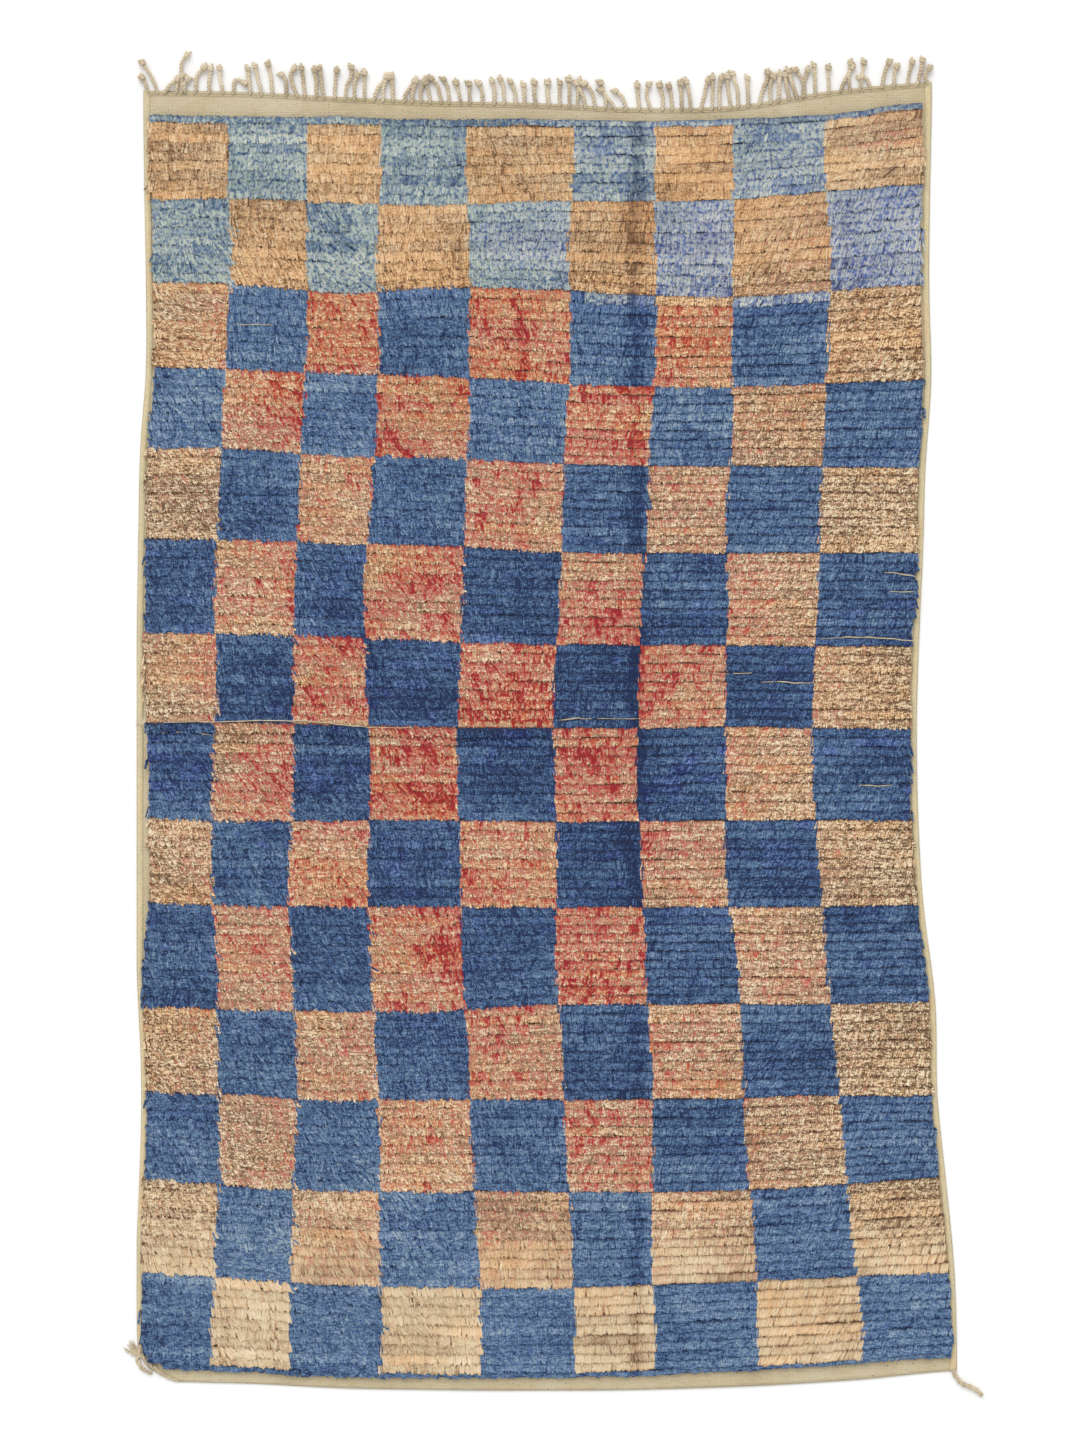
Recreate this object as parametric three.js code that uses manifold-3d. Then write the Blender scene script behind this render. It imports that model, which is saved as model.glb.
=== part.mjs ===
import * as THREE from "three";
import Module from "manifold-3d";

// A hand-knotted wool rug lying flat, seen from above with its fringed end towards +Y.
// Millimetres, +Z up. The underside lies on z = 0, and the origin is the middle of the
// rug's outline, fringe and corner ends included.

// The cloth: a flat weave with long pile knotted into it row by row.
const GROUND_THICKNESS = 3;
const PILE_CREST = 14;
const PILE_VALLEY = 8.5;
const CREST_PLACE = 0.62;
const SHOULDER_SHARE = 0.6;
const SHOULDER_WIDTH = 18;
const LOCK_REACH = 6;
const LUMPS = [
  { height: 0.5, across: 61, down: 37 },
  { height: 0.4, across: 23, down: -29 },
];

// The selvedge: a thick cord of wrapped warps down each side.
const SELVEDGE_WIDTH = 14;
const SELVEDGE_HEIGHT = 5.5;
const SELVEDGE_SIDE = 2.5;
const SELVEDGE_UNDERCUT = 1.5;
const PILE_FOOT = 2;

// The twined edge that carries the fringe, and the knotted tassels that start inside it. A
// tassel is a cord, a knot near its end and a short brush.
const GAP = 0.3;
const TWINED_EDGE = { width: 10, height: 4.5 };
const ROOT_DEPTH = 6;
const TASSEL = [
  { along: 0, width: 6.4, height: 3.5 },
  { along: 0.3, width: 8, height: 7 },
  { along: 0.68, width: 8, height: 7 },
  { along: 0.82, width: 12, height: 10 },
  { along: 0.92, width: 6.4, height: 6.3 },
  { along: 1, width: 7.2, height: 5 },
];
const LEAN_POWER = 1.4;
const SWAY_TURNS = 0.65;
const LEVEL_TOP = 0.62;

// The rug's lie. Each weft line is one straight throw of the loom, which the rug's lie has
// bent. It is rows pile rows away from the next line, its ends are at west and east, and y
// holds where it runs at even steps from west to east.
const WEFT_LINES = [
  { rows: 9, west: -797, east: 734, y: [1174, 1170, 1166, 1164, 1197] },
  { rows: 9, west: -795, east: 731, y: [1011, 1015, 1011, 1015, 1044] },
  { rows: 9, west: -792, east: 729, y: [850, 838, 840, 828, 850] },
  { rows: 9, west: -792, east: 733, y: [689, 681, 667, 652, 663] },
  { rows: 10, west: -803, east: 722, y: [534, 524, 508, 499, 497] },
  { rows: 10, west: -807, east: 717, y: [355, 351, 338, 329, 330] },
  { rows: 9, west: -810, east: 709, y: [175, 169, 157, 152, 147] },
  { rows: 10, west: -815, east: 705, y: [-2, -2, -8, -8, -12] },
  { rows: 9, west: -822, east: 708, y: [-184, -190, -190, -188, -188] },
  { rows: 11, west: -818, east: 718, y: [-347, -355, -354, -355, -351] },
  { rows: 10, west: -807, east: 741, y: [-549, -559, -549, -543, -541] },
  { rows: 10, west: -801, east: 745, y: [-714, -729, -729, -729, -724] },
  { rows: 10, west: -805, east: 761, y: [-883, -906, -908, -906, -883] },
  { rows: 10, west: -812, east: 778, y: [-1065, -1086, -1096, -1086, -1065] },
  { rows: 0, west: -808, east: 783, y: [-1245, -1267, -1269, -1255, -1234] },
];
const LAST_LINE = WEFT_LINES.length - 1;

// How far the flat-woven end bands reach past the pile, at even steps from west to east.
const FRINGED_BAND = [54, 54, 46, 40, 38, 32, 35, 48, 48];
const PLAIN_BAND = [29, 31, 31, 34, 26];

// The south-west corner is turned under on this slant, which starts down the west side.
const CORNER_CUT = { fromX: -807.5, fromY: -1216, toX: -733, toY: -1281 };

// Two old folds that the pile has parted along: one down the length and one across.
const LONG_FOLD = { x: 165, width: 24, depth: 6 };
const CROSS_FOLD = { y: -4, width: 9, depth: 5, endX: 60, fade: 90 };

// Where the pile's height is set across the rug, as shares of the width between selvedges.
const PILE_STATIONS = [0.16, 0.34, 0.5, 0.585, 0.625, 0.665, 0.83];

// The tassels, clump by clump from west to east: count tassels, whose roots are spread from
// rootA to rootB along the edge and whose tips are spread from tipA to tipB, reachA to
// reachB beyond the edge. Bow is how far a tassel bends sideways on its way.
const TASSEL_CLUMPS = [
  { count: 2, rootA: -789, rootB: -769, tipA: -803, tipB: -798, reachA: 26, reachB: 56, bow: 2 },
  { count: 1, rootA: -756, rootB: -756, tipA: -740, tipB: -740, reachA: 24, reachB: 24, bow: -4 },
  { count: 1, rootA: -736, rootB: -736, tipA: -718, tipB: -718, reachA: 79, reachB: 79, bow: 5 },
  { count: 1, rootA: -716, rootB: -716, tipA: -700, tipB: -700, reachA: 24, reachB: 24, bow: -3 },
  { count: 3, rootA: -696, rootB: -642, tipA: -679, tipB: -652, reachA: 47, reachB: 45, bow: 2 },
  { count: 1, rootA: -622, rootB: -622, tipA: -610, tipB: -610, reachA: 24, reachB: 24, bow: -6 },
  { count: 3, rootA: -591, rootB: -547, tipA: -595, tipB: -556, reachA: 46, reachB: 54, bow: 3 },
  { count: 2, rootA: -521, rootB: -500, tipA: -512, tipB: -494, reachA: 47, reachB: 34, bow: -5 },
  { count: 3, rootA: -482, rootB: -446, tipA: -489, tipB: -453, reachA: 54, reachB: 58, bow: 3 },
  { count: 1, rootA: -426, rootB: -426, tipA: -420, tipB: -420, reachA: 52, reachB: 52, bow: -3 },
  { count: 2, rootA: -406, rootB: -388, tipA: -397, tipB: -382, reachA: 58, reachB: 44, bow: -4 },
  { count: 1, rootA: -368, rootB: -368, tipA: -368, tipB: -368, reachA: 54, reachB: 54, bow: 2 },
  { count: 3, rootA: -350, rootB: -312, tipA: -334, tipB: -306, reachA: 46, reachB: 48, bow: -3 },
  { count: 2, rootA: -292, rootB: -276, tipA: -280, tipB: -266, reachA: 42, reachB: 43, bow: -3 },
  { count: 4, rootA: -257, rootB: -203, tipA: -251, tipB: -213, reachA: 46, reachB: 52, bow: 3 },
  { count: 3, rootA: -181, rootB: -137, tipA: -189, tipB: -146, reachA: 39, reachB: 41, bow: 2 },
  { count: 4, rootA: -116, rootB: -55, tipA: -120, tipB: -57, reachA: 41, reachB: 38, bow: -2 },
  { count: 4, rootA: -34, rootB: 30, tipA: -38, tipB: 29, reachA: 42, reachB: 51, bow: 2 },
  { count: 3, rootA: 46, rootB: 80, tipA: 47, tipB: 73, reachA: 54, reachB: 42, bow: -4 },
  { count: 3, rootA: 100, rootB: 141, tipA: 91, tipB: 119, reachA: 48, reachB: 32, bow: -3 },
  { count: 2, rootA: 165, rootB: 185, tipA: 161, tipB: 183, reachA: 44, reachB: 46, bow: 4 },
  { count: 4, rootA: 212, rootB: 266, tipA: 204, tipB: 257, reachA: 45, reachB: 50, bow: -2 },
  { count: 5, rootA: 285, rootB: 358, tipA: 296, tipB: 356, reachA: 55, reachB: 57, bow: 2 },
  { count: 1, rootA: 377, rootB: 377, tipA: 377, tipB: 377, reachA: 56, reachB: 56, bow: -2 },
  { count: 4, rootA: 401, rootB: 455, tipA: 412, tipB: 454, reachA: 58, reachB: 52, bow: 3 },
  { count: 4, rootA: 474, rootB: 533, tipA: 469, tipB: 532, reachA: 57, reachB: 50, bow: -3 },
  { count: 2, rootA: 556, rootB: 574, tipA: 569, tipB: 583, reachA: 50, reachB: 56, bow: 2 },
  { count: 2, rootA: 597, rootB: 615, tipA: 601, tipB: 617, reachA: 37, reachB: 52, bow: -3 },
  { count: 5, rootA: 637, rootB: 725, tipA: 650, tipB: 738, reachA: 46, reachB: 30, bow: 4 },
];

// The loose selvedge ends at the plain end's corners. The west one is a wad with its cord
// folded back along the slant: x and y run down its middle, width across it, height up.
const WEST_END = [
  { x: -817, y: -1193, width: 7, height: 6 },
  { x: -817.5, y: -1204, width: 14, height: 10 },
  { x: -821.5, y: -1216, width: 22, height: 11 },
  { x: -818, y: -1227, width: 17, height: 9 },
  { x: -808, y: -1234, width: 16, height: 8 },
  { x: -793, y: -1246, width: 19, height: 8 },
  { x: -776, y: -1259, width: 16, height: 7 },
  { x: -757, y: -1272, width: 11, height: 6 },
  { x: -739, y: -1282, width: 6, height: 5 },
];
const EAST_END = [
  { x: 777, y: -1261.2, width: 11, height: 5 },
  { x: 778, y: -1269, width: 11, height: 7 },
  { x: 786, y: -1282, width: 10, height: 8 },
  { x: 801, y: -1289, width: 10, height: 8 },
  { x: 817, y: -1294, width: 11, height: 9 },
  { x: 828, y: -1301, width: 12, height: 9 },
  { x: 833, y: -1308, width: 8, height: 6 },
];

const PILE_COLOUR = 0x5d7bab;
const UNDYED_COLOUR = 0xcdbf9d;

function mix(a, b, share) {
  return a + (b - a) * share;
}

// A smooth curve through values set at even steps, read at a share of its length.
function smoothThrough(values, share) {
  const last = values.length - 1;
  const place = THREE.MathUtils.clamp(share, 0, 1) * last;
  const i = Math.min(Math.floor(place), last - 1);
  const at = (k) => values[THREE.MathUtils.clamp(k, 0, last)];
  const f = place - i;
  const slope = at(i + 1) - at(i - 1);
  const bend = 2 * at(i - 1) - 5 * at(i) + 4 * at(i + 1) - at(i + 2);
  const turn = 3 * at(i) - at(i - 1) - 3 * at(i + 1) + at(i + 2);
  return at(i) + 0.5 * (slope * f + bend * f * f + turn * f ** 3);
}

// Where the weft runs at a share of the way across and a number of check lines down.
function weftY(across, line) {
  const i = Math.min(Math.floor(line), LAST_LINE - 1);
  const above = smoothThrough(WEFT_LINES[i].y, across);
  const below = smoothThrough(WEFT_LINES[i + 1].y, across);
  return mix(above, below, line - i);
}

function sideX(side, line) {
  const edge = WEFT_LINES.map((weft) => weft[side]);
  return smoothThrough(edge, line / LAST_LINE);
}

// The west side at a plan height, drawn in where the corner is turned under.
function westOf(line, y) {
  const cut = CORNER_CUT;
  const down = (y - cut.fromY) / (cut.toY - cut.fromY);
  return Math.max(sideX("west", line), mix(cut.fromX, cut.toX, down));
}

// How much of its height the pile keeps at a place, between the folds and its own lumps.
function pileShare(x, y) {
  const long = LONG_FOLD.depth * Math.exp(-(((x - LONG_FOLD.x) / LONG_FOLD.width) ** 2));
  const fading = 1 / (1 + Math.exp((x - CROSS_FOLD.endX) / CROSS_FOLD.fade));
  const across = CROSS_FOLD.depth * fading * Math.exp(-(((y - CROSS_FOLD.y) / CROSS_FOLD.width) ** 2));
  const lumps = LUMPS.map((lump) => lump.height * Math.sin(x / lump.across + y / lump.down));
  return 1 + (lumps[0] + lumps[1] - long - across) / PILE_CREST;
}

// The weft-wise rows of the upper face, from the fringed band's edge to the plain band's.
function faceRows() {
  const band = GAP + TWINED_EDGE.width;
  const rows = [{ line: 0, beyond: (across) => smoothThrough(FRINGED_BAND, across) - band, pile: 0 }];
  const onLine = () => 0;
  rows.push({ line: 0, beyond: onLine, pile: 0 });
  for (let i = 0; i < LAST_LINE; i += 1) {
    for (let k = 0; k < WEFT_LINES[i].rows; k += 1) {
      const crest = i + (k + CREST_PLACE) / WEFT_LINES[i].rows;
      const valley = i + (k + 1) / WEFT_LINES[i].rows;
      rows.push({ line: crest, beyond: onLine, pile: PILE_CREST });
      rows.push({ line: valley, beyond: onLine, pile: PILE_VALLEY });
    }
  }
  rows.at(-1).pile = 0;
  rows.push({ line: LAST_LINE, beyond: (across) => -smoothThrough(PLAIN_BAND, across), pile: 0 });
  return rows;
}

// One row of the upper face: the selvedge, the pile's side and the pile, then the same back.
// The locks at the pile's side reach further out on a crest than in a valley.
function facePoints(row) {
  const east = sideX("east", row.line);
  const west = westOf(row.line, weftY(0, row.line) + row.beyond(0));
  const foot = SELVEDGE_WIDTH + PILE_FOOT;
  const shoulder = foot + (row.pile === PILE_CREST ? 0 : LOCK_REACH);
  const side = [
    { inset: 0, z: SELVEDGE_SIDE, share: 0 },
    { inset: SELVEDGE_WIDTH / 2, z: SELVEDGE_HEIGHT, share: 0 },
    { inset: SELVEDGE_WIDTH, z: GROUND_THICKNESS, share: 0 },
    { inset: shoulder, z: GROUND_THICKNESS, share: SHOULDER_SHARE },
    { inset: shoulder + SHOULDER_WIDTH, z: GROUND_THICKNESS, share: 1 },
  ];
  const stations = [
    ...side.map((point) => ({ ...point, x: west + point.inset })),
    ...PILE_STATIONS.map((at) => ({ x: mix(west + foot, east - foot, at), z: GROUND_THICKNESS, share: 1 })),
    ...side.map((point) => ({ ...point, x: east - point.inset })).reverse(),
  ];
  return stations.map(({ x, z, share }) => {
    const across = (x - sideX("west", row.line)) / (east - sideX("west", row.line));
    const y = weftY(across, row.line) + row.beyond(across);
    return [x, y, z + share * row.pile * pileShare(x, y)];
  });
}

function meshFrom(name, positions, index, colour, roughness) {
  const geometry = new THREE.BufferGeometry();
  geometry.setAttribute("position", new THREE.Float32BufferAttribute(positions, 3));
  geometry.setIndex(index);
  geometry.computeVertexNormals();
  const material = new THREE.MeshStandardMaterial({ color: colour, roughness, metalness: 0 });
  const mesh = new THREE.Mesh(geometry, material);
  mesh.name = name;
  return mesh;
}

// The upper face's corners round its rim, anticlockwise from the north-east.
function rimOf(tall, wide) {
  const steps = (count) => Array.from({ length: count }, (_, k) => k);
  const last = (tall - 1) * wide;
  return [
    ...steps(wide - 1).map((k) => wide - 1 - k),
    ...steps(tall - 1).map((k) => k * wide),
    ...steps(wide - 1).map((k) => last + k),
    ...steps(tall - 1).map((k) => last + wide - 1 - k * wide),
  ];
}

// The whole cloth as one closed solid: the upper face, walls down from its rim, and a flat
// underside that is drawn in a little under the selvedges.
function wovenRug() {
  const grid = faceRows().map(facePoints);
  const wide = grid[0].length;
  const tall = grid.length;
  const points = grid.flat();
  const index = [];
  for (let row = 0; row < tall - 1; row += 1) {
    for (let column = 0; column < wide - 1; column += 1) {
      const a = row * wide + column;
      index.push(a, a + wide, a + wide + 1, a, a + wide + 1, a + 1);
    }
  }
  const rim = rimOf(tall, wide);
  const isSide = (corner) => corner % wide === 0 || corner % wide === wide - 1;
  const outline = rim.map((corner) => {
    const [x, y] = points[corner];
    const inward = corner % wide === 0 ? SELVEDGE_UNDERCUT : -SELVEDGE_UNDERCUT;
    return new THREE.Vector2(isSide(corner) ? x + inward : x, y);
  });
  const base = points.length;
  points.push(...outline.map((corner) => [corner.x, corner.y, 0]));
  for (let k = 0; k < rim.length; k += 1) {
    const next = (k + 1) % rim.length;
    index.push(rim[k], base + k, base + next, rim[k], base + next, rim[next]);
  }
  const downwards = THREE.ShapeUtils.isClockWise(outline);
  for (const [a, b, c] of THREE.ShapeUtils.triangulateShape(outline, [])) {
    index.push(base + a, base + (downwards ? b : c), base + (downwards ? c : b));
  }
  return meshFrom("woven_rug", points.flat(), index, PILE_COLOUR, 0.95);
}

// A closed band of four-sided sections, flat on the floor and narrower on top. It is cut
// square to its own run, or else straight along Y.
function levelBand(sections, square = true) {
  const points = [];
  const index = [];
  sections.forEach(({ x, y, width, height }, k) => {
    const before = sections[Math.max(k - 1, 0)];
    const after = sections[Math.min(k + 1, sections.length - 1)];
    const run = new THREE.Vector2(after.x - before.x, square ? after.y - before.y : 0).normalize();
    for (const [side, z] of [[-1, 0], [1, 0], [LEVEL_TOP, height], [-LEVEL_TOP, height]]) {
      const out = (side * width) / 2;
      points.push(x + run.y * out, y - run.x * out, z);
    }
  });
  for (let k = 0; k < sections.length - 1; k += 1) {
    for (let side = 0; side < 4; side += 1) {
      const [a, b] = [4 * k + side, 4 * k + ((side + 1) % 4)];
      index.push(a, a + 4, b + 4, a, b + 4, b);
    }
  }
  const end = 4 * (sections.length - 1);
  index.push(0, 1, 2, 0, 2, 3, end, end + 2, end + 1, end, end + 3, end + 2);
  return { points, index };
}

// The twined edge runs along the fringed band, point for point, a gap away from the cloth.
function twinedEdgeSections() {
  const offset = GAP + TWINED_EDGE.width / 2;
  return facePoints(faceRows()[0]).map(([x, y]) => ({ x, y: y + offset, ...TWINED_EDGE }));
}

function fringedEdgeY(sections, x) {
  const next = THREE.MathUtils.clamp(sections.findIndex((section) => section.x > x), 1, sections.length - 1);
  const [a, b] = [sections[next - 1], sections[next]];
  return mix(a.y, b.y, (x - a.x) / (b.x - a.x)) + TWINED_EDGE.width / 2;
}

// A tassel leaves its root straight, then leans over to its tip and sways by its bow.
function tasselSections(edge, root, tip, reach, bow) {
  const edgeY = fringedEdgeY(edge, root);
  return TASSEL.map(({ along, width, height }) => {
    const x = mix(root, tip, along ** LEAN_POWER) + bow * Math.sin(2 * Math.PI * SWAY_TURNS * along);
    return { x, y: mix(edgeY - ROOT_DEPTH, edgeY + reach, along), width, height };
  });
}

function clumpTassels(edge, clump) {
  return Array.from({ length: clump.count }, (_, k) => {
    const share = clump.count > 1 ? k / (clump.count - 1) : 0;
    const root = mix(clump.rootA, clump.rootB, share);
    const tip = mix(clump.tipA, clump.tipB, share);
    const bow = k % 2 === 0 ? clump.bow : -clump.bow / 2;
    return tasselSections(edge, root, tip, mix(clump.reachA, clump.reachB, share), bow);
  });
}

const wasm = await Module();
wasm.setup();

function solidOf({ points, index }) {
  const mesh = new wasm.Mesh({
    numProp: 3,
    vertProperties: new Float32Array(points),
    triVerts: new Uint32Array(index),
  });
  return new wasm.Manifold(mesh);
}

function fringe() {
  const edge = twinedEdgeSections();
  let solid = solidOf(levelBand(edge, false));
  for (const sections of TASSEL_CLUMPS.flatMap((clump) => clumpTassels(edge, clump))) {
    solid = solid.add(solidOf(levelBand(sections)));
  }
  const { vertProperties, triVerts } = solid.getMesh();
  return meshFrom("fringe_top", vertProperties, Array.from(triVerts), UNDYED_COLOUR, 0.9);
}

function cornerTassel(name, sections) {
  const { points, index } = levelBand(sections);
  return meshFrom(name, points, index, UNDYED_COLOUR, 0.9);
}

const rug = new THREE.Group();
rug.add(wovenRug());
rug.add(fringe());
rug.add(cornerTassel("corner_tassel_left", WEST_END));
rug.add(cornerTassel("corner_tassel_right", EAST_END));

export default rug;
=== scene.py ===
import math

import bpy
import numpy as np
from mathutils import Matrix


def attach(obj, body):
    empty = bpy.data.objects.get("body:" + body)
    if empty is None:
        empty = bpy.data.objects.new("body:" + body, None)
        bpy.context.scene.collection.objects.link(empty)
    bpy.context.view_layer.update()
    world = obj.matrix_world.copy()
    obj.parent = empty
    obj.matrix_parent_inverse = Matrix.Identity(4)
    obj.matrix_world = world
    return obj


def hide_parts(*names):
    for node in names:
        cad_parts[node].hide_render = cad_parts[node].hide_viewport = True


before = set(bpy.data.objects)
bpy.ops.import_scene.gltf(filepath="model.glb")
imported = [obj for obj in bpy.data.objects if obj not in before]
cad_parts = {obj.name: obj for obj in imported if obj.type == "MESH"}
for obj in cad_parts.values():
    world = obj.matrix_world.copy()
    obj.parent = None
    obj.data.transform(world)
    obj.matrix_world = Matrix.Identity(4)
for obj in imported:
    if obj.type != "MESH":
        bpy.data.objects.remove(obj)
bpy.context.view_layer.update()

# ---- The ground weave ----------------------------------------------------------------
# Undyed wool warps with a wool weft beaten down over them into a firm flat cloth. It
# carries the pile, and is left bare as a band at each end. It lies flat on the floor, and
# one old fold still stands up across its west half.
MM = 0.001
CLOTH_THICKNESS = 3.0
# Each weft line is one straight throw of the loom, bent by the rug's lie. It is so many
# pile rows from the next one, has its ends at west and east, and runs at these heights at
# even steps from west to east. All in mm.
WEFT_LINES = [
    (9, -797, 734, (1178, 1173, 1174, 1168, 1168, 1166, 1170, 1180, 1203)),
    (9, -795, 731, (1015, 1019, 1010, 1006, 1012, 1013, 1017, 1033, 1047)),
    (9, -792, 729, (857, 850, 835, 845, 842, 832, 827, 839, 852)),
    (9, -792, 733, (689, 687, 677, 674, 663, 652, 653, 660, 667)),
    (10, -803, 722, (534, 532, 519, 516, 505, 499, 499, 497, 495)),
    (10, -807, 717, (358, 357, 349, 345, 334, 329, 330, 331, 330)),
    (9, -810, 709, (175, 174, 169, 161, 154, 152, 151, 150, 149)),
    (10, -815, 705, (-1, 0, -5, -9, -10, -10, -7, -9, -11)),
    (9, -822, 708, (-182, -189, -188, -187, -190, -191, -188, -188, -188)),
    (11, -818, 718, (-348, -353, -355, -355, -356, -357, -356, -356, -352)),
    (10, -807, 741, (-548, -556, -558, -557, -546, -545, -544, -544, -541)),
    (10, -801, 745, (-715, -721, -730, -728, -729, -729, -728, -722, -723)),
    (10, -805, 761, (-884, -898, -906, -908, -907, -909, -906, -894, -881)),
    (10, -812, 778, (-1063, -1075, -1089, -1091, -1094, -1088, -1081, -1071, -1064)),
    (0, -808, 783, (-1252, -1258, -1268, -1270, -1269, -1265, -1254, -1242, -1230)),
]
PILE_ROWS, WEST_SIDE, EAST_SIDE, WEFT_HEIGHTS = (np.array(facts) for facts in zip(*WEFT_LINES))
LAST_LINE = len(WEFT_LINES) - 1
# How far the bare end bands reach past the pile.
FRINGED_BAND = [50, 53, 42, 40, 36, 29, 29, 48, 42]
PLAIN_BAND = [26, 24, 24, 26, 28, 30, 34, 34, 28]
# The south-west corner is turned under on this slant, from its y values to its x values.
CORNER_CUT = (-1284, -1275, -1264, -1252, -1240, -1226, -1212), (-722, -745, -768, -788, -799, -806, -810)
# The fold that stands up across the west half: its line, its height and half its width, and
# where it dies away.
CROSS_FOLD = {"line": 7.0, "height": 6.0, "width": 5.0, "end": 60.0, "fade": 40.0}
# Where the checks meet: mm from the middle, one line for each place between two columns,
# read at the middle of each row of checks.
CHECK_SIDES = [
    (-631, -626, -633, -642, -649, -659, -653, -663, -664, -654, -652, -649, -656, -666),
    (-478, -481, -478, -487, -495, -502, -506, -505, -516, -509, -497, -503, -509, -512),
    (-335, -345, -339, -344, -355, -369, -363, -355, -362, -356, -343, -338, -340, -335),
    (-171, -162, -165, -164, -172, -177, -184, -187, -180, -179, -165, -160, -147, -142),
    (39, 28, 33, 23, 17, 12, -1, 3, 4, 5, 17, 23, 35, 41),
    (195, 197, 198, 187, 183, 170, 166, 161, 171, 178, 188, 192, 191, 197),
    (347, 350, 345, 348, 335, 338, 333, 334, 334, 355, 367, 373, 390, 396),
    (525, 538, 532, 525, 516, 512, 502, 503, 515, 528, 546, 562, 578, 600),
]


def smooth_through(values, share):
    """A smooth curve through values set at even steps, read at a share of its length."""
    share = np.asarray(share, float)
    values = np.broadcast_to(values, (*share.shape, np.shape(values)[-1]))
    last = values.shape[-1] - 1
    place = np.clip(share, 0, 1) * last
    step = np.minimum(np.floor(place).astype(int), last - 1)
    f = place - step
    near = [
        np.take_along_axis(values, np.clip(step + k, 0, last)[..., None], -1)[..., 0]
        for k in (-1, 0, 1, 2)
    ]
    slope = near[2] - near[0]
    bend = 2 * near[0] - 5 * near[1] + 4 * near[2] - near[3]
    turn = 3 * near[1] - near[0] - 3 * near[2] + near[3]
    return near[1] + 0.5 * (slope * f + bend * f**2 + turn * f**3)


def weft_y(across, line):
    """Where the weft runs, at a share of the way across and a number of check lines down."""
    above = np.clip(np.floor(line).astype(int), 0, LAST_LINE - 1)
    upper = smooth_through(WEFT_HEIGHTS[above], across)
    lower = smooth_through(WEFT_HEIGHTS[above + 1], across)
    return upper + (lower - upper) * (line - above)


def rug_sides(line):
    """Where the cloth's west and east sides are, at a number of check lines down."""
    share = np.asarray(line, float) / LAST_LINE
    return smooth_through(WEST_SIDE, share), smooth_through(EAST_SIDE, share)


def share_across(x, line):
    """How far across the cloth a place is: 0 at its west side and 1 at its east side."""
    west, east = rug_sides(line)
    return (x - west) / (east - west)


def west_x(line, y):
    """The west side, drawn in where the corner is turned under."""
    return np.maximum(rug_sides(line)[0], np.interp(y, *CORNER_CUT))


def check_sides(line):
    """The places between the columns of checks, first to last, at a line down the rug."""
    share = (np.asarray(line, float) - 0.5) / (LAST_LINE - 1)
    return np.stack([smooth_through(side, share) for side in CHECK_SIDES], -1)


def beside_fold(x):
    """1 where the cross fold is, falling to 0 where it dies away."""
    return 1 / (1 + np.exp((x - CROSS_FOLD["end"]) / CROSS_FOLD["fade"]))


def cloth_lift(x, y, across):
    """How far the cloth stands off the floor: a slight ripple, and the old fold."""
    ripple = 0.5 + 0.3 * np.sin(x / 97 + y / 160) + 0.2 * np.sin(x / 41 - y / 73)
    off_fold = (y - weft_y(across, CROSS_FOLD["line"])) / CROSS_FOLD["width"]
    return ripple + CROSS_FOLD["height"] * (beside_fold(x) * np.exp(-(off_fold**2)))


def cloth_lines():
    """The lines that the cloth's mesh is made on: how far down, and how far past the pile."""
    fine = 7 + np.array([-0.12, -0.09, -0.07, -0.05, -0.03, -0.01, 0.01, 0.03, 0.05, 0.07, 0.1])
    even = np.arange(0, LAST_LINE + 0.01, 1 / 6)
    within = np.sort(np.concatenate([even[np.abs(even - 7) > 0.13], fine]))
    fringed = [(0, 1 - k / 6) for k in range(6)]
    return fringed + [(line, 0) for line in within] + [(LAST_LINE, -(k + 1) / 4) for k in range(4)]


def cloth_points():
    """Rows of points over the cloth from its fringed end, with how far down each row is."""
    rows, lines = [], []
    steps = np.linspace(0, 1, 60)
    for line, past in cloth_lines():
        reach = smooth_through(PLAIN_BAND if past < 0 else FRINGED_BAND, steps)
        start = west_x(line, weft_y(0.0, line) + past * reach[0])
        x = start + (rug_sides(line)[1] - start) * steps
        across = share_across(x, line)
        y = weft_y(across, line) + past * reach
        rows.append(np.stack([x, y, cloth_lift(x, y, across)], -1))
        lines.append(np.full(len(steps), float(line)))
    return np.array(rows), np.array(lines)


def mesh_piece(name, points, faces=(), edges=()):
    """A mesh object from points in mm."""
    mesh = bpy.data.meshes.new(name)
    mesh.from_pydata((np.asarray(points) * MM).tolist(), edges, [tuple(map(int, face)) for face in faces])
    mesh.shade_smooth()
    piece = bpy.data.objects.new(name, mesh)
    bpy.context.scene.collection.objects.link(piece)
    return piece


def give(piece, fact, values):
    """Stores a number, or three of them, at each point of a piece."""
    values = np.asarray(values, np.float32)
    kind, field = ("FLOAT", "value") if values.ndim == 1 else ("FLOAT_VECTOR", "vector")
    piece.data.attributes.new(fact, kind, "POINT").data.foreach_set(field, values.ravel())


def grid_faces(tall, wide):
    """The faces between rows of points, and the points round their edge in order."""
    at = np.arange(tall * wide).reshape(tall, wide)
    faces = [
        (at[r, c], at[r + 1, c], at[r + 1, c + 1], at[r, c + 1])
        for r in range(tall - 1)
        for c in range(wide - 1)
    ]
    return faces, np.array([*at[0, ::-1], *at[1:, 0], *at[-1, 1:], *at[-2:0:-1, -1]])


def faces_round(rim, foot):
    """The faces from one loop of points down to another."""
    return list(zip(rim, foot, np.roll(foot, -1), np.roll(rim, -1)))


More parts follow.
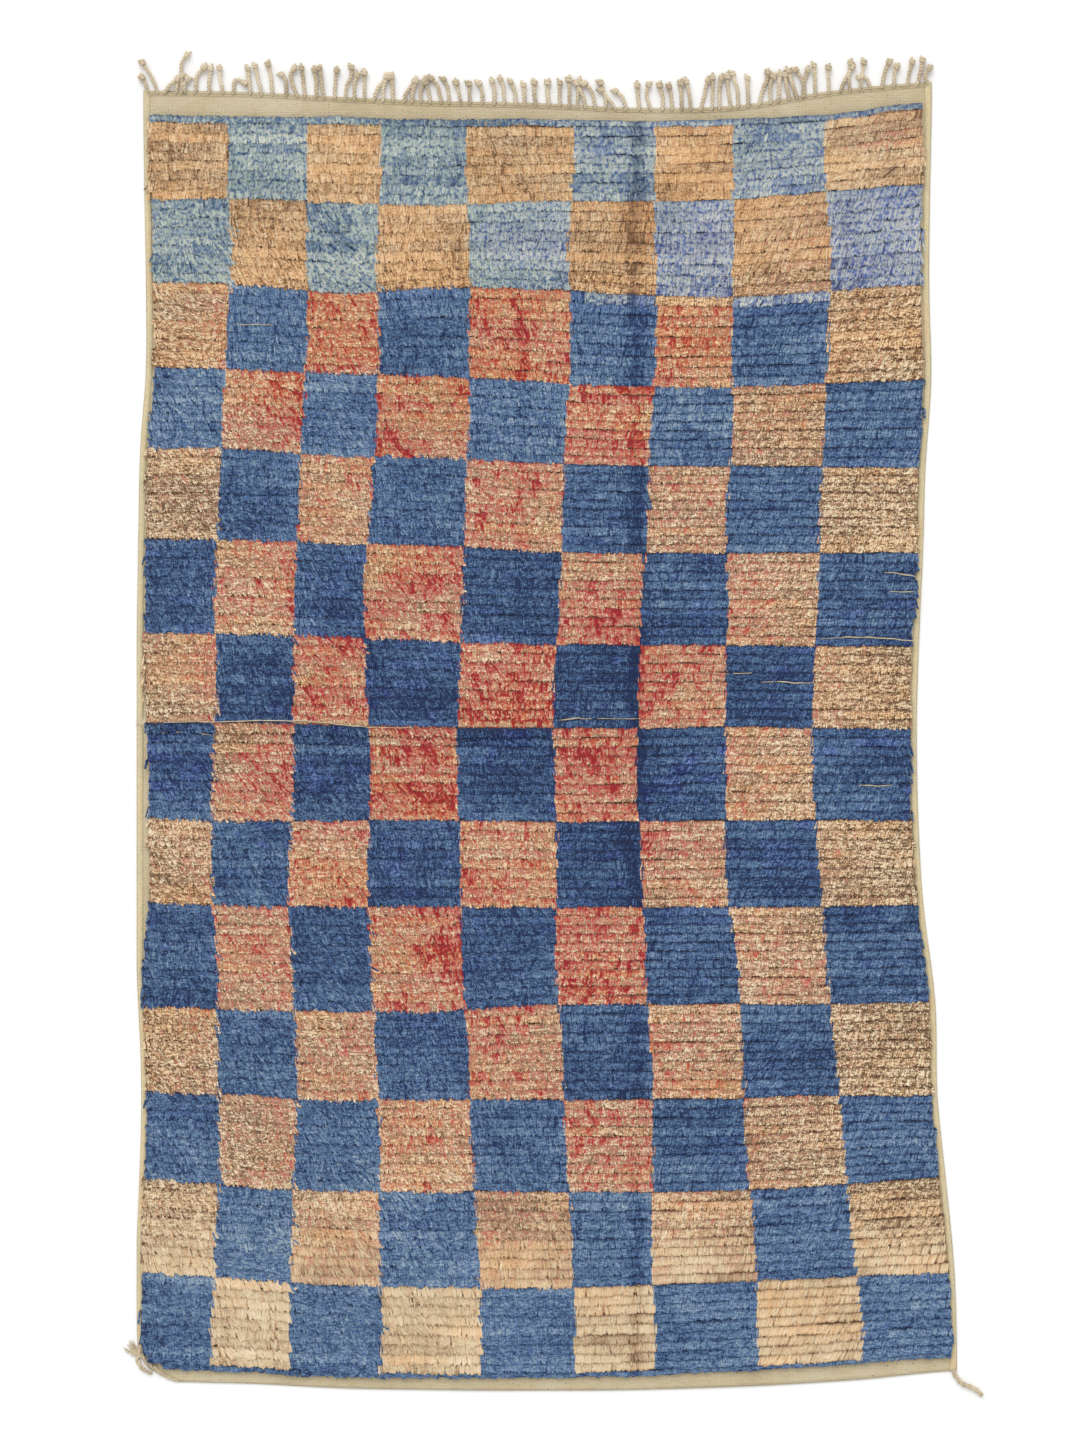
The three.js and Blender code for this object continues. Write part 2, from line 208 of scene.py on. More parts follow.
def cloth_sheet(name):
    """The cloth as a closed sheet: its face, its back and the edge round them."""
    under, lines = cloth_points()
    face, rim = grid_faces(*lines.shape)
    back = [tuple(k + lines.size for k in reversed(quad)) for quad in face]
    points = np.concatenate([under + (0, 0, CLOTH_THICKNESS), under]).reshape(-1, 3)
    piece = mesh_piece(name, points, face + back + faces_round(rim, rim + lines.size))
    lines, x = lines.ravel(), under[..., 0].ravel()
    west, east = rug_sides(lines)
    edges = np.column_stack([west, check_sides(lines), east])
    column = [np.interp(place, sides, range(10)) for place, sides in zip(x, edges)]
    knot_row = np.interp(lines, range(LAST_LINE + 1), np.cumsum([0, *PILE_ROWS[:-1]]))
    give(piece, "check_place", np.tile(np.column_stack([column, lines, knot_row]), (2, 1)))
    slots = [0] * len(face) + [1] * len(back) + [0] * len(rim)
    piece.data.polygons.foreach_set("material_index", slots)
    return piece


def linear(code):
    """An sRGB hex colour as linear RGBA."""
    parts = [int(code[k : k + 2], 16) / 255 for k in (1, 3, 5)]
    return [*(c / 12.92 if c <= 0.04045 else ((c + 0.055) / 1.055) ** 2.4 for c in parts), 1]


def add(tree, kind, inputs=(), stops=(), out=None, to=None, **settings):
    """Adds a node by its kind and mode, with its inputs in order or by name, its colour stops
    and settings. Gives the output asked for, or the first in use, and can link it on."""
    kind, _, mode = kind.partition(" ")
    names = (family + kind for family in ("ShaderNode", "GeometryNode", "FunctionNode", "Node", ""))
    node = tree.nodes.new(next(name for name in names if hasattr(bpy.types, name)))
    if mode:
        settings[next(name for name in ("operation", "data_type", "mode") if hasattr(node, name))] = mode
    for name, value in settings.items():
        setattr(node, name, value)
    in_use = [socket for socket in node.inputs if socket.enabled]
    for k, value in inputs.items() if isinstance(inputs, dict) else enumerate(inputs):
        socket = node.inputs[k] if isinstance(k, str) else in_use[k]
        if isinstance(value, bpy.types.NodeSocket):
            tree.links.new(value, socket)
        else:
            socket.default_value = linear(value) if str(value).startswith("#") else value
    for k, (place, code) in enumerate(stops):
        if k == len(node.color_ramp.elements):
            node.color_ramp.elements.new(1)
        node.color_ramp.elements[k].position = place
        node.color_ramp.elements[k].color = linear(code)
    given = node.outputs[out] if out else next((each for each in node.outputs if each.enabled), None)
    if to:
        tree.links.new(given, to)
    return given


def new_finish(name, roughness, sheen):
    """A wool finish: matt, with the soft sheen of its fibres. Gives its tree and surface."""
    material = bpy.data.materials.new(name)
    material.use_nodes = True
    surface = material.node_tree.nodes["Principled BSDF"].inputs
    surface["Roughness"].default_value = roughness
    surface["Specular IOR Level"].default_value = 0.2
    surface["Sheen Weight"].default_value = sheen
    surface["Sheen Roughness"].default_value = 0.5
    return material, material.node_tree, surface


def bands_for(pitch):
    """The scale that gives Blender's wave bands a pitch in mm."""
    return math.pi / (10 * pitch * MM)


# Undyed handspun wool in plain weave: ribs of weft over hidden warps, in uneven cream and
# khaki yarns. The real weft is 1.5 mm thick, and is drawn at 3 mm so that it shows.
WEFT_PITCH = 3.0
WARP_PITCH = 4.5
flat_weave, tree, surface = new_finish("undyed wool flat weave", 0.92, 0.15)
place = add(tree, "TexCoord", out="Object")
stretched = add(tree, "Mapping", {"Vector": place, "Scale": (45, 420, 1)})
yarn = add(tree, "TexNoise", {"Vector": stretched, "Scale": 1.0, "Detail": 2.0})
patches = add(tree, "TexNoise", {"Vector": place, "Scale": 12.0, "Detail": 2.0})
tone = add(tree, "Math ADD", (yarn, patches))
tone = add(tree, "Math MULTIPLY", (tone, 0.5))
colour = add(tree, "ValToRGB", (tone,), [(0.3, "#c3b391"), (0.5, "#d8caa8"), (0.7, "#e6dbc0")])
ribs = []
for pitch, bent, direction in ((WEFT_PITCH, 1.2, "Y"), (WARP_PITCH, 0.8, "X")):
    wave = {"Vector": place, "Scale": bands_for(pitch), "Distortion": bent}
    wave |= {"Detail": 1.0, "Detail Scale": 0.5}
    ribs.append(add(tree, "TexWave", wave, out="Fac", bands_direction=direction))
woven = add(tree, "Math MULTIPLY", ribs)
# The weave is painted darker between its ribs, as painted shade in its grooves.
lifted = add(tree, "MapRange", {"Value": woven, "To Min": 0.5})
shaded = add(tree, "Mix RGBA", (lifted, "#a49373", colour))
# Bits of dark chaff and hair are spun into the yarn.
chaff = add(tree, "TexNoise", {"Vector": place, "Scale": 260.0, "Detail": 1.0})
specks = add(tree, "MapRange", (chaff, 0.68, 0.74))
add(tree, "Mix RGBA", (specks, shaded, "#8a7455"), to=surface["Base Color"])
add(tree, "Bump", {"Height": woven, "Strength": 0.6, "Distance": 0.0012}, to=surface["Normal"])


def check_marks(tree):
    """1 on a blue check and 0 on a pale one, and the column, line and pile row of a place."""
    place = add(tree, "Attribute", out="Vector", attribute_name="check_place")
    parts = add(tree, "SeparateXYZ", (place,)).node.outputs
    whole = [add(tree, "Math FLOOR", (parts[k],)) for k in (0, 1)]
    both = add(tree, "Math ADD", whole)
    return add(tree, "Math FLOORED_MODULO", (both, 2.0)), parts


# The same cloth from behind, where each pile row shows as a line of dyed knots between
# bands of weft.
knot_backs, tree, surface = new_finish("knot backs in undyed wool", 0.92, 0.15)
blue_check, parts = check_marks(tree)
dyed = add(tree, "Mix RGBA", (blue_check, "#c99d78", "#4d6694"))
row_share = add(tree, "Math FRACT", (parts[2],))
in_knots = add(tree, "Math LESS_THAN", (row_share, 0.3))
place = add(tree, "TexCoord", out="Object")
knots = {"Vector": place, "Scale": bands_for(WARP_PITCH), "Distortion": 0.6}
knots = add(tree, "TexWave", knots, out="Fac", bands_direction="X")
knot_share = add(tree, "Math MULTIPLY", (in_knots, knots))
add(tree, "Mix RGBA", (knot_share, "#c6b797", dyed), to=surface["Base Color"])
add(tree, "Bump", {"Height": knot_share, "Strength": 0.5, "Distance": 0.0015}, to=surface["Normal"])


def part_of_rug(piece, node):
    """The piece rides on the rug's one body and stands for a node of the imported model."""
    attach(piece, "root")
    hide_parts(node)


ground = cloth_sheet("ground_weave")
ground.data.materials.append(flat_weave)
ground.data.materials.append(knot_backs)
part_of_rug(ground, "woven_rug")

# ---- The selvedges -------------------------------------------------------------------
# The outermost warps of each side, bunched and wrapped with undyed wool into a thick
# flattened cord that the wefts turn round.
SELVEDGE_WIDTH = 14.0
SELVEDGE_HEIGHT = 5.8
WRAP_PITCH = 6.0


def new_tree(name, sizes):
    """A Geometry Nodes tree with a named input for each of its sizes."""
    tree = bpy.data.node_groups.new(name, "GeometryNodeTree")
    for way in ("INPUT", "OUTPUT"):
        tree.interface.new_socket("Geometry", in_out=way, socket_type="NodeSocketGeometry")
    for label, kind in sizes.items():
        tree.interface.new_socket(label, in_out="INPUT", socket_type=f"NodeSocket{kind}")
    return tree, add(tree, "GroupInput").node.outputs


def close_tree(tree, shape, wool):
    """Rounds and makes real what a tree has made, gives it its wool and hands it on."""
    real = add(tree, "RealizeInstances", (add(tree, "SetShadeSmooth", (shape,)),))
    painted = add(tree, "SetMaterial", {"Geometry": real, "Material": wool})
    add(tree, "GroupOutput", (painted,))


def made_by(tree, source, sizes):
    """Runs a tree on an object and keeps what it makes as a plain mesh in its place."""
    modifier = source.modifiers.new(tree.name, "NODES")
    modifier.node_group = tree
    for item in tree.interface.items_tree:
        if item.name in sizes:
            modifier[item.identifier] = sizes[item.name]
    graph = bpy.context.evaluated_depsgraph_get()
    made = source.evaluated_get(graph)
    mesh = bpy.data.meshes.new_from_object(made, preserve_all_data_layers=True, depsgraph=graph)
    name = mesh.name = source.name
    bpy.data.objects.remove(source)
    piece = bpy.data.objects.new(name, mesh)
    bpy.context.scene.collection.objects.link(piece)
    return piece


def path_piece(name, paths, girths=()):
    """Open paths in mm as chains of edges, with how thick each is at its points, in mm."""
    edges, count = [], 0
    for path in paths:
        edges += [(count + k, count + k + 1) for k in range(len(path) - 1)]
        count += len(path)
    piece = mesh_piece(name, np.concatenate(paths), edges=edges)
    if len(girths):
        give(piece, "girth", np.concatenate([girth * MM for girth in girths]))
    return piece


# The wrapped cord: an oval tube down a path, narrowed between each two turns of yarn.
sizes = {"Half width": "Float", "Half height": "Float", "Wrap pitch": "Float", "Wool": "Material"}
wrapping, given = new_tree("wrapped cord", sizes)
half_pitch = add(wrapping, "Math MULTIPLY", (given["Wrap pitch"], 0.5))
curve = add(wrapping, "MeshToCurve", (given["Geometry"],))
even = add(wrapping, "ResampleCurve LENGTH", {"Curve": curve, "Length": half_pitch})
level = add(wrapping, "SetCurveNormal Z_UP", {"Curve": even})
second = add(wrapping, "Math MODULO", (add(wrapping, "InputIndex"), 2.0))
girth = add(wrapping, "MapRange", {"Value": second, "To Min": 1.0, "To Max": 0.84})
circle = add(wrapping, "CurvePrimitiveCircle", {"Resolution": 8, "Radius": 1.0})
oval = add(wrapping, "CombineXYZ", (given["Half width"], given["Half height"], 1.0))
section = add(wrapping, "Transform", {"Geometry": circle, "Scale": oval})
tube = {"Curve": level, "Profile Curve": section, "Scale": girth, "Fill Caps": True}
close_tree(wrapping, add(wrapping, "CurveToMesh", tube), given["Wool"])

# Undyed wool yarn laid side by side: paler on each turn, grey and rosy in places where the
# dyes of the pile have marked it.
wrapped_wool, tree, surface = new_finish("wrapped undyed wool", 0.9, 0.2)
place = add(tree, "TexCoord", out="Object")
fibres = add(tree, "TexNoise", {"Vector": place, "Scale": 320.0, "Detail": 3.0})
stains = add(tree, "TexNoise", {"Vector": place, "Scale": 7.0, "Detail": 3.0})
clean = add(tree, "ValToRGB", (fibres,), [(0.3, "#b9a780"), (0.7, "#ded0aa")])
marks = add(tree, "ValToRGB", (stains,), [(0.3, "#b6b49f"), (0.5, "#d8caa4"), (0.7, "#d9ad84")])
add(tree, "Mix RGBA", (0.3, clean, marks), to=surface["Base Color"])
add(tree, "Bump", {"Height": fibres, "Strength": 0.4, "Distance": 0.0006}, to=surface["Normal"])


def selvedge_path(side):
    """Down the middle of a selvedge, from the fringed end to the plain end."""
    points = []
    for line, past in cloth_lines():
        west, east = rug_sides(line)
        band = (FRINGED_BAND if past > 0 else PLAIN_BAND)[0 if side < 0 else -1]
        y = weft_y(float(side > 0), line) + past * band
        edge = west_x(line, y) if side < 0 else east
        if side > 0 or edge <= west + 1:
            points.append((float(edge) - side * SELVEDGE_WIDTH / 2, float(y), SELVEDGE_HEIGHT / 2))
    return points


for name, side in (("selvedge_west", -1), ("selvedge_east", 1)):
    selvedge = made_by(wrapping, path_piece(name, [selvedge_path(side)]), {
        "Half width": SELVEDGE_WIDTH / 2 * MM,
        "Half height": SELVEDGE_HEIGHT / 2 * MM,
        "Wrap pitch": WRAP_PITCH * MM,
        "Wool": wrapped_wool,
    })
    part_of_rug(selvedge, "woven_rug")

# ---- The pile ------------------------------------------------------------------------
# Handspun wool knotted round the warps one row at a time. Each knot leaves two locks, cut
# long, which lie down over the row below.
KNOT_PITCH = 2.95
STANDARD_ROW = 18.2
# How much of each side the pile leaves bare, at even steps down the rug.
WEST_FOOT = [13, 14, 14, 13, 12, 10, 9]
EAST_FOOT = [19, 16, 14, 14, 14, 13, 11]
# A lock is knotted in a little past its row's line and a little into the cloth, and sways by
# so much. Where it bends over and where it ends: how far it has leant over, how high it is
# and how wide.
KNOT_SHIFT = 3.4
KNOT_DEPTH = 0.6
LOCK_SWAY = 4.0
LOCK_BEND = {"over": 4.5, "high": 11.8, "wide": 2.9}
LOCK_END = {"over": 22.7, "high": 12.0, "wide": 3.4}
# The packed wool below the locks: its flat crests, the grooves between its rows, and how far
# it stays inside the pile's west and east ends.
BED_CREST = 10.8
BED_GROOVE = 6.5
BED_INSET = (3, 2)
# Two soft troughs run down the rug from old folds, painted darker as painted shade. In the
# long one the pile is also pressed apart and lies a little lower.
LONG_FOLD = {"x": 160.0, "width": 15.0, "depth": 0.1, "parting": 0.35}
FAINT_FOLD = {"x": -62.0, "width": 13.0}
# How warm the pale wool is at even steps down the rug, how far the red has run in each row of
# checks, and how deep its lot of blue is.
WARMTH = [0.6, 0.6, 0.65, 0.6, 0.4, 0.35, 0.35, 0.35, 0.35, 0.35, 0.35, 0.35, 0.3, 0.2, 0.15]
RED_RUN = [0.03, 0.1, 0.7, 0.7, 0.5, 0.75, 0.88, 0.76, 0.62, 0.73, 0.52, 0.52, 0.3, 0.05]
BLUE_DEPTH = [0, 0, -0.06, -0.23, 0.0, 0.25, 0.42, 0.31, 0.35, 0.25, 0.12, 0.0, -0.16, -0.07]
LAST_ROW = sum(PILE_ROWS) - 1
PIECE_CHECKS = [(0, 3), (3, 6), (6, 9), (9, 12), (12, 14)]


def drift(x, y, wide, tall, seed):
    """A smooth chance from -1 to 1, which changes over about wide by tall millimetres."""
    u, v = (x + 900) / wide, (y + 1400) / tall
    lattice = np.random.default_rng(seed).uniform(-1, 1, (int(1900 / wide) + 3, int(2900 / tall) + 3))
    i, j = np.floor(u).astype(int), np.floor(v).astype(int)
    f, g = u - i, v - j
    f, g = f * f * (3 - 2 * f), g * g * (3 - 2 * g)
    at = lambda a, b: lattice[a % lattice.shape[0], b % lattice.shape[1]]
    low = at(i, j) * (1 - f) + at(i + 1, j) * f
    high = at(i, j + 1) * (1 - f) + at(i + 1, j + 1) * f
    return low * (1 - g) + high * g


def rise(value, start, end):
    """0 before start and 1 after end, smoothly."""
    t = np.clip((value - start) / (end - start), 0, 1)
    return t * t * (3 - 2 * t)


def row_line(check_row, row):
    """How far down the rug a pile row is. The first and the last one are cropped narrower."""
    early, late = 0.42 * (check_row == 0), 0.5 * (check_row == LAST_LINE - 1)
    place = max(row - early, 0) / (PILE_ROWS[check_row] - early - late)
    return min(check_row + place, LAST_LINE)


def pile_ends(line):
    """Where the pile starts in the west and ends in the east. At the turned corner it stays
    clear of the cord along the edge."""
    line = np.asarray(line, float)
    west, east = rug_sides(line)
    start = west_x(line, weft_y(0 * line, line) - 15) + smooth_through(WEST_FOOT, line / LAST_LINE)
    start = start + 12 * rise(start - west, 12, 22)
    return start, east - smooth_through(EAST_FOOT, line / LAST_LINE)


def locks_in(first, last):
    """The locks of some rows of checks: where each is knotted in, and in which pile row."""
    chance = np.random.default_rng(100 + first)
    found = []
    for check_row in range(first, last):
        for row in range(PILE_ROWS[check_row]):
            line = row_line(check_row, row)
            start, end = pile_ends(line)
            count = 2 * int((end - start) / KNOT_PITCH)
            x = np.linspace(start, end, count) + chance.uniform(-0.9, 0.9, count)
            across = share_across(x, line)
            top = weft_y(across, line)
            # Each row wanders a little from its line.
            own = (check_row * 12 + row) * 40.0 % 2600 - 1300
            wander = 1.6 * drift(x + 37 * row, own, 60, 37, 41) + 1.0 * drift(x + 37 * row, own, 20, 37, 42)
            ragged = (2.2 - 1.3 * rise(x, -300, 250)) * chance.uniform(-1, 1, count)
            found.append({
                "x": x,
                "y": top + KNOT_SHIFT + wander + ragged,
                "across": across,
                "line": np.full(count, line),
                "check_row": np.full(count, check_row),
                "row": np.full(count, sum(PILE_ROWS[:check_row]) + row),
                "depth": top - weft_y(across, row_line(check_row, row + 1)),
                "edge": np.minimum(x - start, end - x),
            })
    return {fact: np.concatenate([row[fact] for row in found]) for fact in found[0]}


def in_row(locks, wide, seed):
    """A chance that changes along each pile row and is new in the next row."""
    return drift(locks["x"] + 37 * locks["row"], locks["row"] * 40.0 % 2600 - 1300, wide, 37, seed)


def past_fold(fold, x, y):
    """How far east of a fold's middle a place is, in the fold's own widths."""
    sway = 5 * drift(y * 0, y, 100, 70, 45), 3 * drift(y * 0, y, 100, 20, 46)
    return (x - fold["x"] - sway[0] - sway[1]) / fold["width"]


def lie_of(locks, seed):
    """How each lock lies: the way it leans, its roll, and its width, reach and height."""
    x, y, across, line, _, row, depth, edge = locks.values()
    chance = np.random.default_rng(seed)
    count = len(x)
    # The west side is mussed, and most of its locks have been brushed towards the east.
    mussed = (1 - rise(x, -560, 180)) * rise(line, 0.2, 1.8) * (0.8 + 0.2 * drift(x, y, 260, 200, 31))
    lean = mussed * (0.5 + 0.4 * drift(x, y, 85, 60, 32) + 0.3 * drift(x, y, 21, 18, 33))
    lean += (1 - mussed) * (0.22 * drift(x, y, 150, 110, 34) + 0.18 * drift(x, y, 25, 20, 38))
    lean -= 0.3 * rise(x, 100, 450)
    lean += chance.normal(0, 1, count) * (0.16 + 0.1 * mussed)
    # Beside another check's locks they are held straighter.
    beside = np.abs(x[:, None] - check_sides(line)).min(1)
    lean *= 0.45 + 0.55 * rise(beside, 0, 26)
    side = np.where(across < 0.5, -1, 1)
    lean += side * np.exp(-(edge / 16)) * (0.1 + 0.25 * drift(x, y, 50, 45, 35))
    past = past_fold(LONG_FOLD, x, y)
    in_fold = np.exp(-(past**2))
    lean += LONG_FOLD["parting"] * in_fold * np.tanh(past * 2)
    # The first and last rows are cropped, and are combed out straight.
    outer = (row == 0) | (row == LAST_ROW)
    lean = np.clip(lean * np.where(outer, 0.4, 1), -1.2, 1.2)
    # No lock reaches far over the selvedge.
    lean = side * np.minimum(side * lean, np.arcsin(np.clip((edge + 5) / 22, 0.1, 1)))
    # Some locks are shorter ends, which lie on top of the others.
    even = (1 - rise(line, 0, 2.2)) + rise(line, 11.6, 13.2)
    short = (chance.uniform(0, 1, count) < 0.14 - 0.1 * even) & ~outer
    uneven = 0.045 - 0.02 * rise(x, -300, 250)
    length = np.where(short, chance.uniform(0.5, 0.92, count), 1 + uneven * chance.normal(0, 1, count))
    reach = depth / STANDARD_ROW * length / np.maximum(np.cos(lean), 0.6)
    # The rows part here and there, most in the east, where they show as ridges. In the west
    # they mostly lie over one another.
    ridged = 0.45 + 0.55 * rise(x, -250, 250) - 0.5 * rise(line, 11.4, 13)
    parted = 3.0 * ridged - 2.1 - 1.2 * rise(2 - line, 0, 0.2) * rise(x, 0, 250)
    parted = parted + (2.6 - 0.8 * ridged) * in_row(locks, 38, 37) + 0.8 * in_row(locks, 9, 39)
    # The wool is drawn apart along the old cross fold.
    fold_row = sum(PILE_ROWS[:7])
    at_fold = beside_fold(x) * (np.abs(row - fold_row) <= 1)
    parted += at_fold * np.where(row == fold_row - 1, 4.5, 2.0)
    reach -= parted / LOCK_END["over"]
    height = chance.normal(1, 0.035, count) * (1 + 0.04 * drift(x, y, 61, 37, 36))
    height = 1 + (height - 1) * (1 - 0.4 * even)
    height *= np.where(short, 1.02, 1)
    height *= 1 - LONG_FOLD["depth"] * in_fold
    # Here and there a lock lies a little lower between its neighbours; it is painted darker, as
    # painted shade.
    sunk = chance.uniform(0, 1, count) < (0.14 - 0.04 * rise(x, -300, 250)) * (1 - 0.85 * even)
    height *= np.where(sunk, 0.99, 1)
    # The last row is combed out over the band, and the one before is cropped above it.
    height *= np.where(row == LAST_ROW, 0.8, 1)
    past_end = depth + KNOT_SHIFT + chance.uniform(-1.5, 1.5, count)
    reach = np.where(row == LAST_ROW, past_end / LOCK_END["over"], reach)
    reach -= np.where(row == LAST_ROW - 1, 4 * (1 - rise(x, 200, 500)) / LOCK_END["over"], 0)
    return {
        "lean": lean,
        "roll": chance.normal(0, 0.2, count) * (1 - 0.5 * even),
        "width": chance.uniform(0.8, 1.3, count) * (1 + 0.15 * even),
        "reach": reach,
        "height": height,
        "sunk": sunk.astype(float),
    }


def dye_of(locks, lean, sunk, seed):
    """Each lock's wool: pale or blue, how washed out it is, how warm, how much red has run
    into it, and how light it is."""
    x, y, across, line, check_row, row, *_ = locks.values()
    chance = np.random.default_rng(seed)
    own = lambda: chance.normal(0, 1, len(x))
    # A check ends where its locks lie, a little past where they are knotted.
    middle = x + 13 * np.sin(lean) + chance.normal(0, 1.6, len(x))
    column = (middle[:, None] > check_sides(line)).sum(1)
    blue = (check_row + column) % 2 == 1
    blue |= (row == 0) | (row == LAST_ROW)
    # The first two rows of checks are of washed-out lots of both wools, which in the east
    # last one pile row longer. Streaks of a stronger indigo are in them.
    late = np.where(across > 0.56, 0.08, 0)
    washed = 1 - rise(line, 1.93 + late, 1.99 + late)
    streak = 0.45 * in_row(locks, 70, 14) + 0.45 * in_row(locks, 24, 15) + 0.4 * drift(x, y, 60, 30, 17)
    washed *= 1 - 0.72 * rise(streak + 0.25 * own(), -0.05, 0.75) * blue
    washed = np.where(row == 0, 0.6 + 0.35 * drift(x, y, 45, 400, 3) + 0.2 * own(), washed)
    # Skeins differ from row to row, and change part of the way along a row.
    skein = in_row(locks, 230, 11)
    deep = np.array(BLUE_DEPTH)[check_row] * (0.5 + 0.5 * np.sin(math.pi * across))
    light = 0.22 * skein + 0.16 * drift(x, y, 160, 120, 12) + 0.12 * drift(x, y, 40, 30, 18) - deep * blue
    light += -0.02 - 0.03 * (1 - blue) + 0.12 * drift(x, y, 12, 9, 13)
    light += (0.14 - 0.04 * rise(x, -300, 100) - 0.06 * rise(line, 12.2, 13.3)) * own()
    # In the troughs, where the lower part of the pile shows, the wool is painted darker as
    # painted shade, and so is each lock that lies lower among its neighbours.
    in_fold = np.exp(-(past_fold(LONG_FOLD, x, y) ** 2)) * (0.7 + 0.3 * drift(x, y, 20, 12, 47))
    faint = np.exp(-(past_fold(FAINT_FOLD, x, y) ** 2)) * rise(line, 2, 2.6) * (1 - rise(line, 5, 8))
    light -= in_fold * (0.5 + 0.35 * blue) * (1 - 0.4 * rise(line, 6, 9)) + 0.2 * faint + 0.45 * sunk
    in_washed = rise(2.1 - line, 0, 0.2)
    light -= (0.06 * rise(line, 11.5, 12.2) + 0.04) * (1 - blue) + 0.22 * in_washed
    # The warmth of a blue lock is how violet it is: some skeins, and the east's washed ones.
    violet = rise(across + 0.15 * drift(x, y, 60, 40, 19), 0.3, 0.75) * rise(2.2 - line, 0, 0.3)
    violet *= np.where(row == 0, 0.3, 0.4 + 0.6 * rise(line, 0.85, 1.1))
    threads = rise(drift(x, y, 30, 18, 43) + 0.5 * in_row(locks, 50, 44), 0.3, 0.8)
    violet += 0.6 * threads * (1 - violet) * np.exp(-(((line - 7) / 3) ** 2))
    warm = smooth_through(WARMTH, line / LAST_LINE) - 0.12 * rise(line, 3, 4)
    warm = warm + (0.12 - 0.3 * rise(across, 0.6, 1)) * rise(2.2 - line, 0, 0.3)
    warm = np.where(blue, violet, warm) + 0.4 * skein * (1 - blue)
    warm = warm + (0.3 - 0.15 * blue) * drift(x, y, 90, 60, 16) + (0.2 - 0.1 * blue) * own()
    # The red has run most in the middle of the rug, in clusters and along the rows.
    run = np.exp(-(((across - 0.47) / 0.42) ** 4)) * (1 - 0.22 * rise(across, 0.55, 0.72))
    run *= np.array(RED_RUN)[check_row]
    patchy = 0.2 * drift(x, y, 36, 26, 21) + 0.2 * in_row(locks, 60, 23) + 0.22 * drift(x, y, 110, 90, 24)
    density = run * np.clip(0.78 + patchy + 0.35 * faint + 0.3 * in_fold, 0, 1.2)
    density *= 1 - 0.9 * washed * (check_row == 2)
    spots = 0.5 * drift(x, y, 13, 9, 22) + 0.6 * in_row(locks, 12, 25) + 0.15 * own()
    red = 0.56 * density + 0.8 * density * rise(spots + 0.9 * (density - 0.7), 0, 0.5) + 0.2 * sunk * density
    light -= 0.31 * density * (1 - blue)
    # In the east's washed rows there is a little of it along the rows.
    red += 0.11 * rise(across, 0.45, 0.9) * in_washed * (0.6 + in_row(locks, 60, 26))
    red += 0.08 + 0.05 * own()
    shares = {"washed": washed, "warm": warm, "red": red}
    return {"blue": blue, "light": light} | {fact: np.clip(share, 0, 1) for fact, share in shares.items()}


def lock_mesh(name):
    """One lock: a pyramid on its side, from the point at its knot to its flat upper face."""
    points = [(0, 0, 0)]
    for place in (LOCK_BEND, LOCK_END):
        points += [(side * place["wide"] / 2, -place["over"], place["high"]) for side in (-1, 1)]
    faces = [(1, 3, 4, 2), (0, 1, 2), (0, 2, 4), (0, 4, 3), (0, 3, 1)]
    piece = mesh_piece(name, points, faces)
    give(piece, "along", [0, 0.4, 0.4, 1, 1])
    give(piece, "aside", [0, -1, 1, -1, 1])
    # On the map the face fills the middle, and the other faces lie round it.
    corners = [(0.5, 0), (0.35, 0.3), (0.65, 0.3), (0.35, 0.9), (0.65, 0.9)]
    shifts = [(0, 0), (0, 0), (0.02, 0), (0, 0.1), (-0.02, 0)]
    flat = [np.add(corners[k], shift) for face, shift in zip(faces, shifts) for k in face]
    piece.data.uv_layers.new(name="OFBake").data.foreach_set("uv", np.array(flat, np.float32).ravel())
    # The face is rounded from side to side and level from end to end.
    for edge in piece.data.edges:
        edge.use_edge_sharp = sorted(edge.vertices) not in ([1, 3], [2, 4])
    return piece


# Knotting: a lock at each place, turned, rolled and sized as its lie says, with a little
# bend of its own.
knotting, given = new_tree("knotted pile", {"Lock": "Object", "Bend": "Float", "Wool": "Material"})
lock = add(knotting, "GeometryNodeObjectInfo", {"Object": given["Lock"]}, out="Geometry")
lean, roll, width, reach, height, along = (
    add(knotting, "InputNamedAttribute", {"Name": fact})
    for fact in ("lean", "roll", "width", "reach", "height", "along")
)
turn = add(knotting, "EulerToRotation", (add(knotting, "CombineXYZ", (0.0, roll, lean)),))
size = add(knotting, "CombineXYZ", (width, reach, height))
placed = {"Points": given["Geometry"], "Instance": lock, "Rotation": turn, "Scale": size}
real = add(knotting, "RealizeInstances", (add(knotting, "InstanceOnPoints", placed),))
where = add(knotting, "InputPosition")
sway = add(knotting, "TexNoise", {"Vector": where, "Scale": 70.0, "Detail": 0.0}, out="Color")
centred = add(knotting, "VectorMath SUBTRACT", (sway, (0.5, 0.5, 0.5)))
strength = add(knotting, "Math MULTIPLY", (along, given["Bend"]))
moved = add(knotting, "VectorMath SCALE", (centred, strength))
bent = add(knotting, "SetPosition", {"Geometry": real, "Offset": moved})
close_tree(knotting, bent, given["Wool"])

# Handspun pile wool, matt with a soft lustre. Each lock is one yarn, painted darker at its
# knot as painted shade, and worn paler at its tip. The wool colours are each a run of tones
# from its shaded side to its lit tips.
pile_wool, tree, surface = new_finish("handspun pile wool", 0.9, 0.25)
blue, washed, warm, red, light, along, aside = (
    add(tree, "Attribute", out="Fac", attribute_name=fact)
    for fact in ("blue", "washed", "warm", "red", "light", "along", "aside")
)
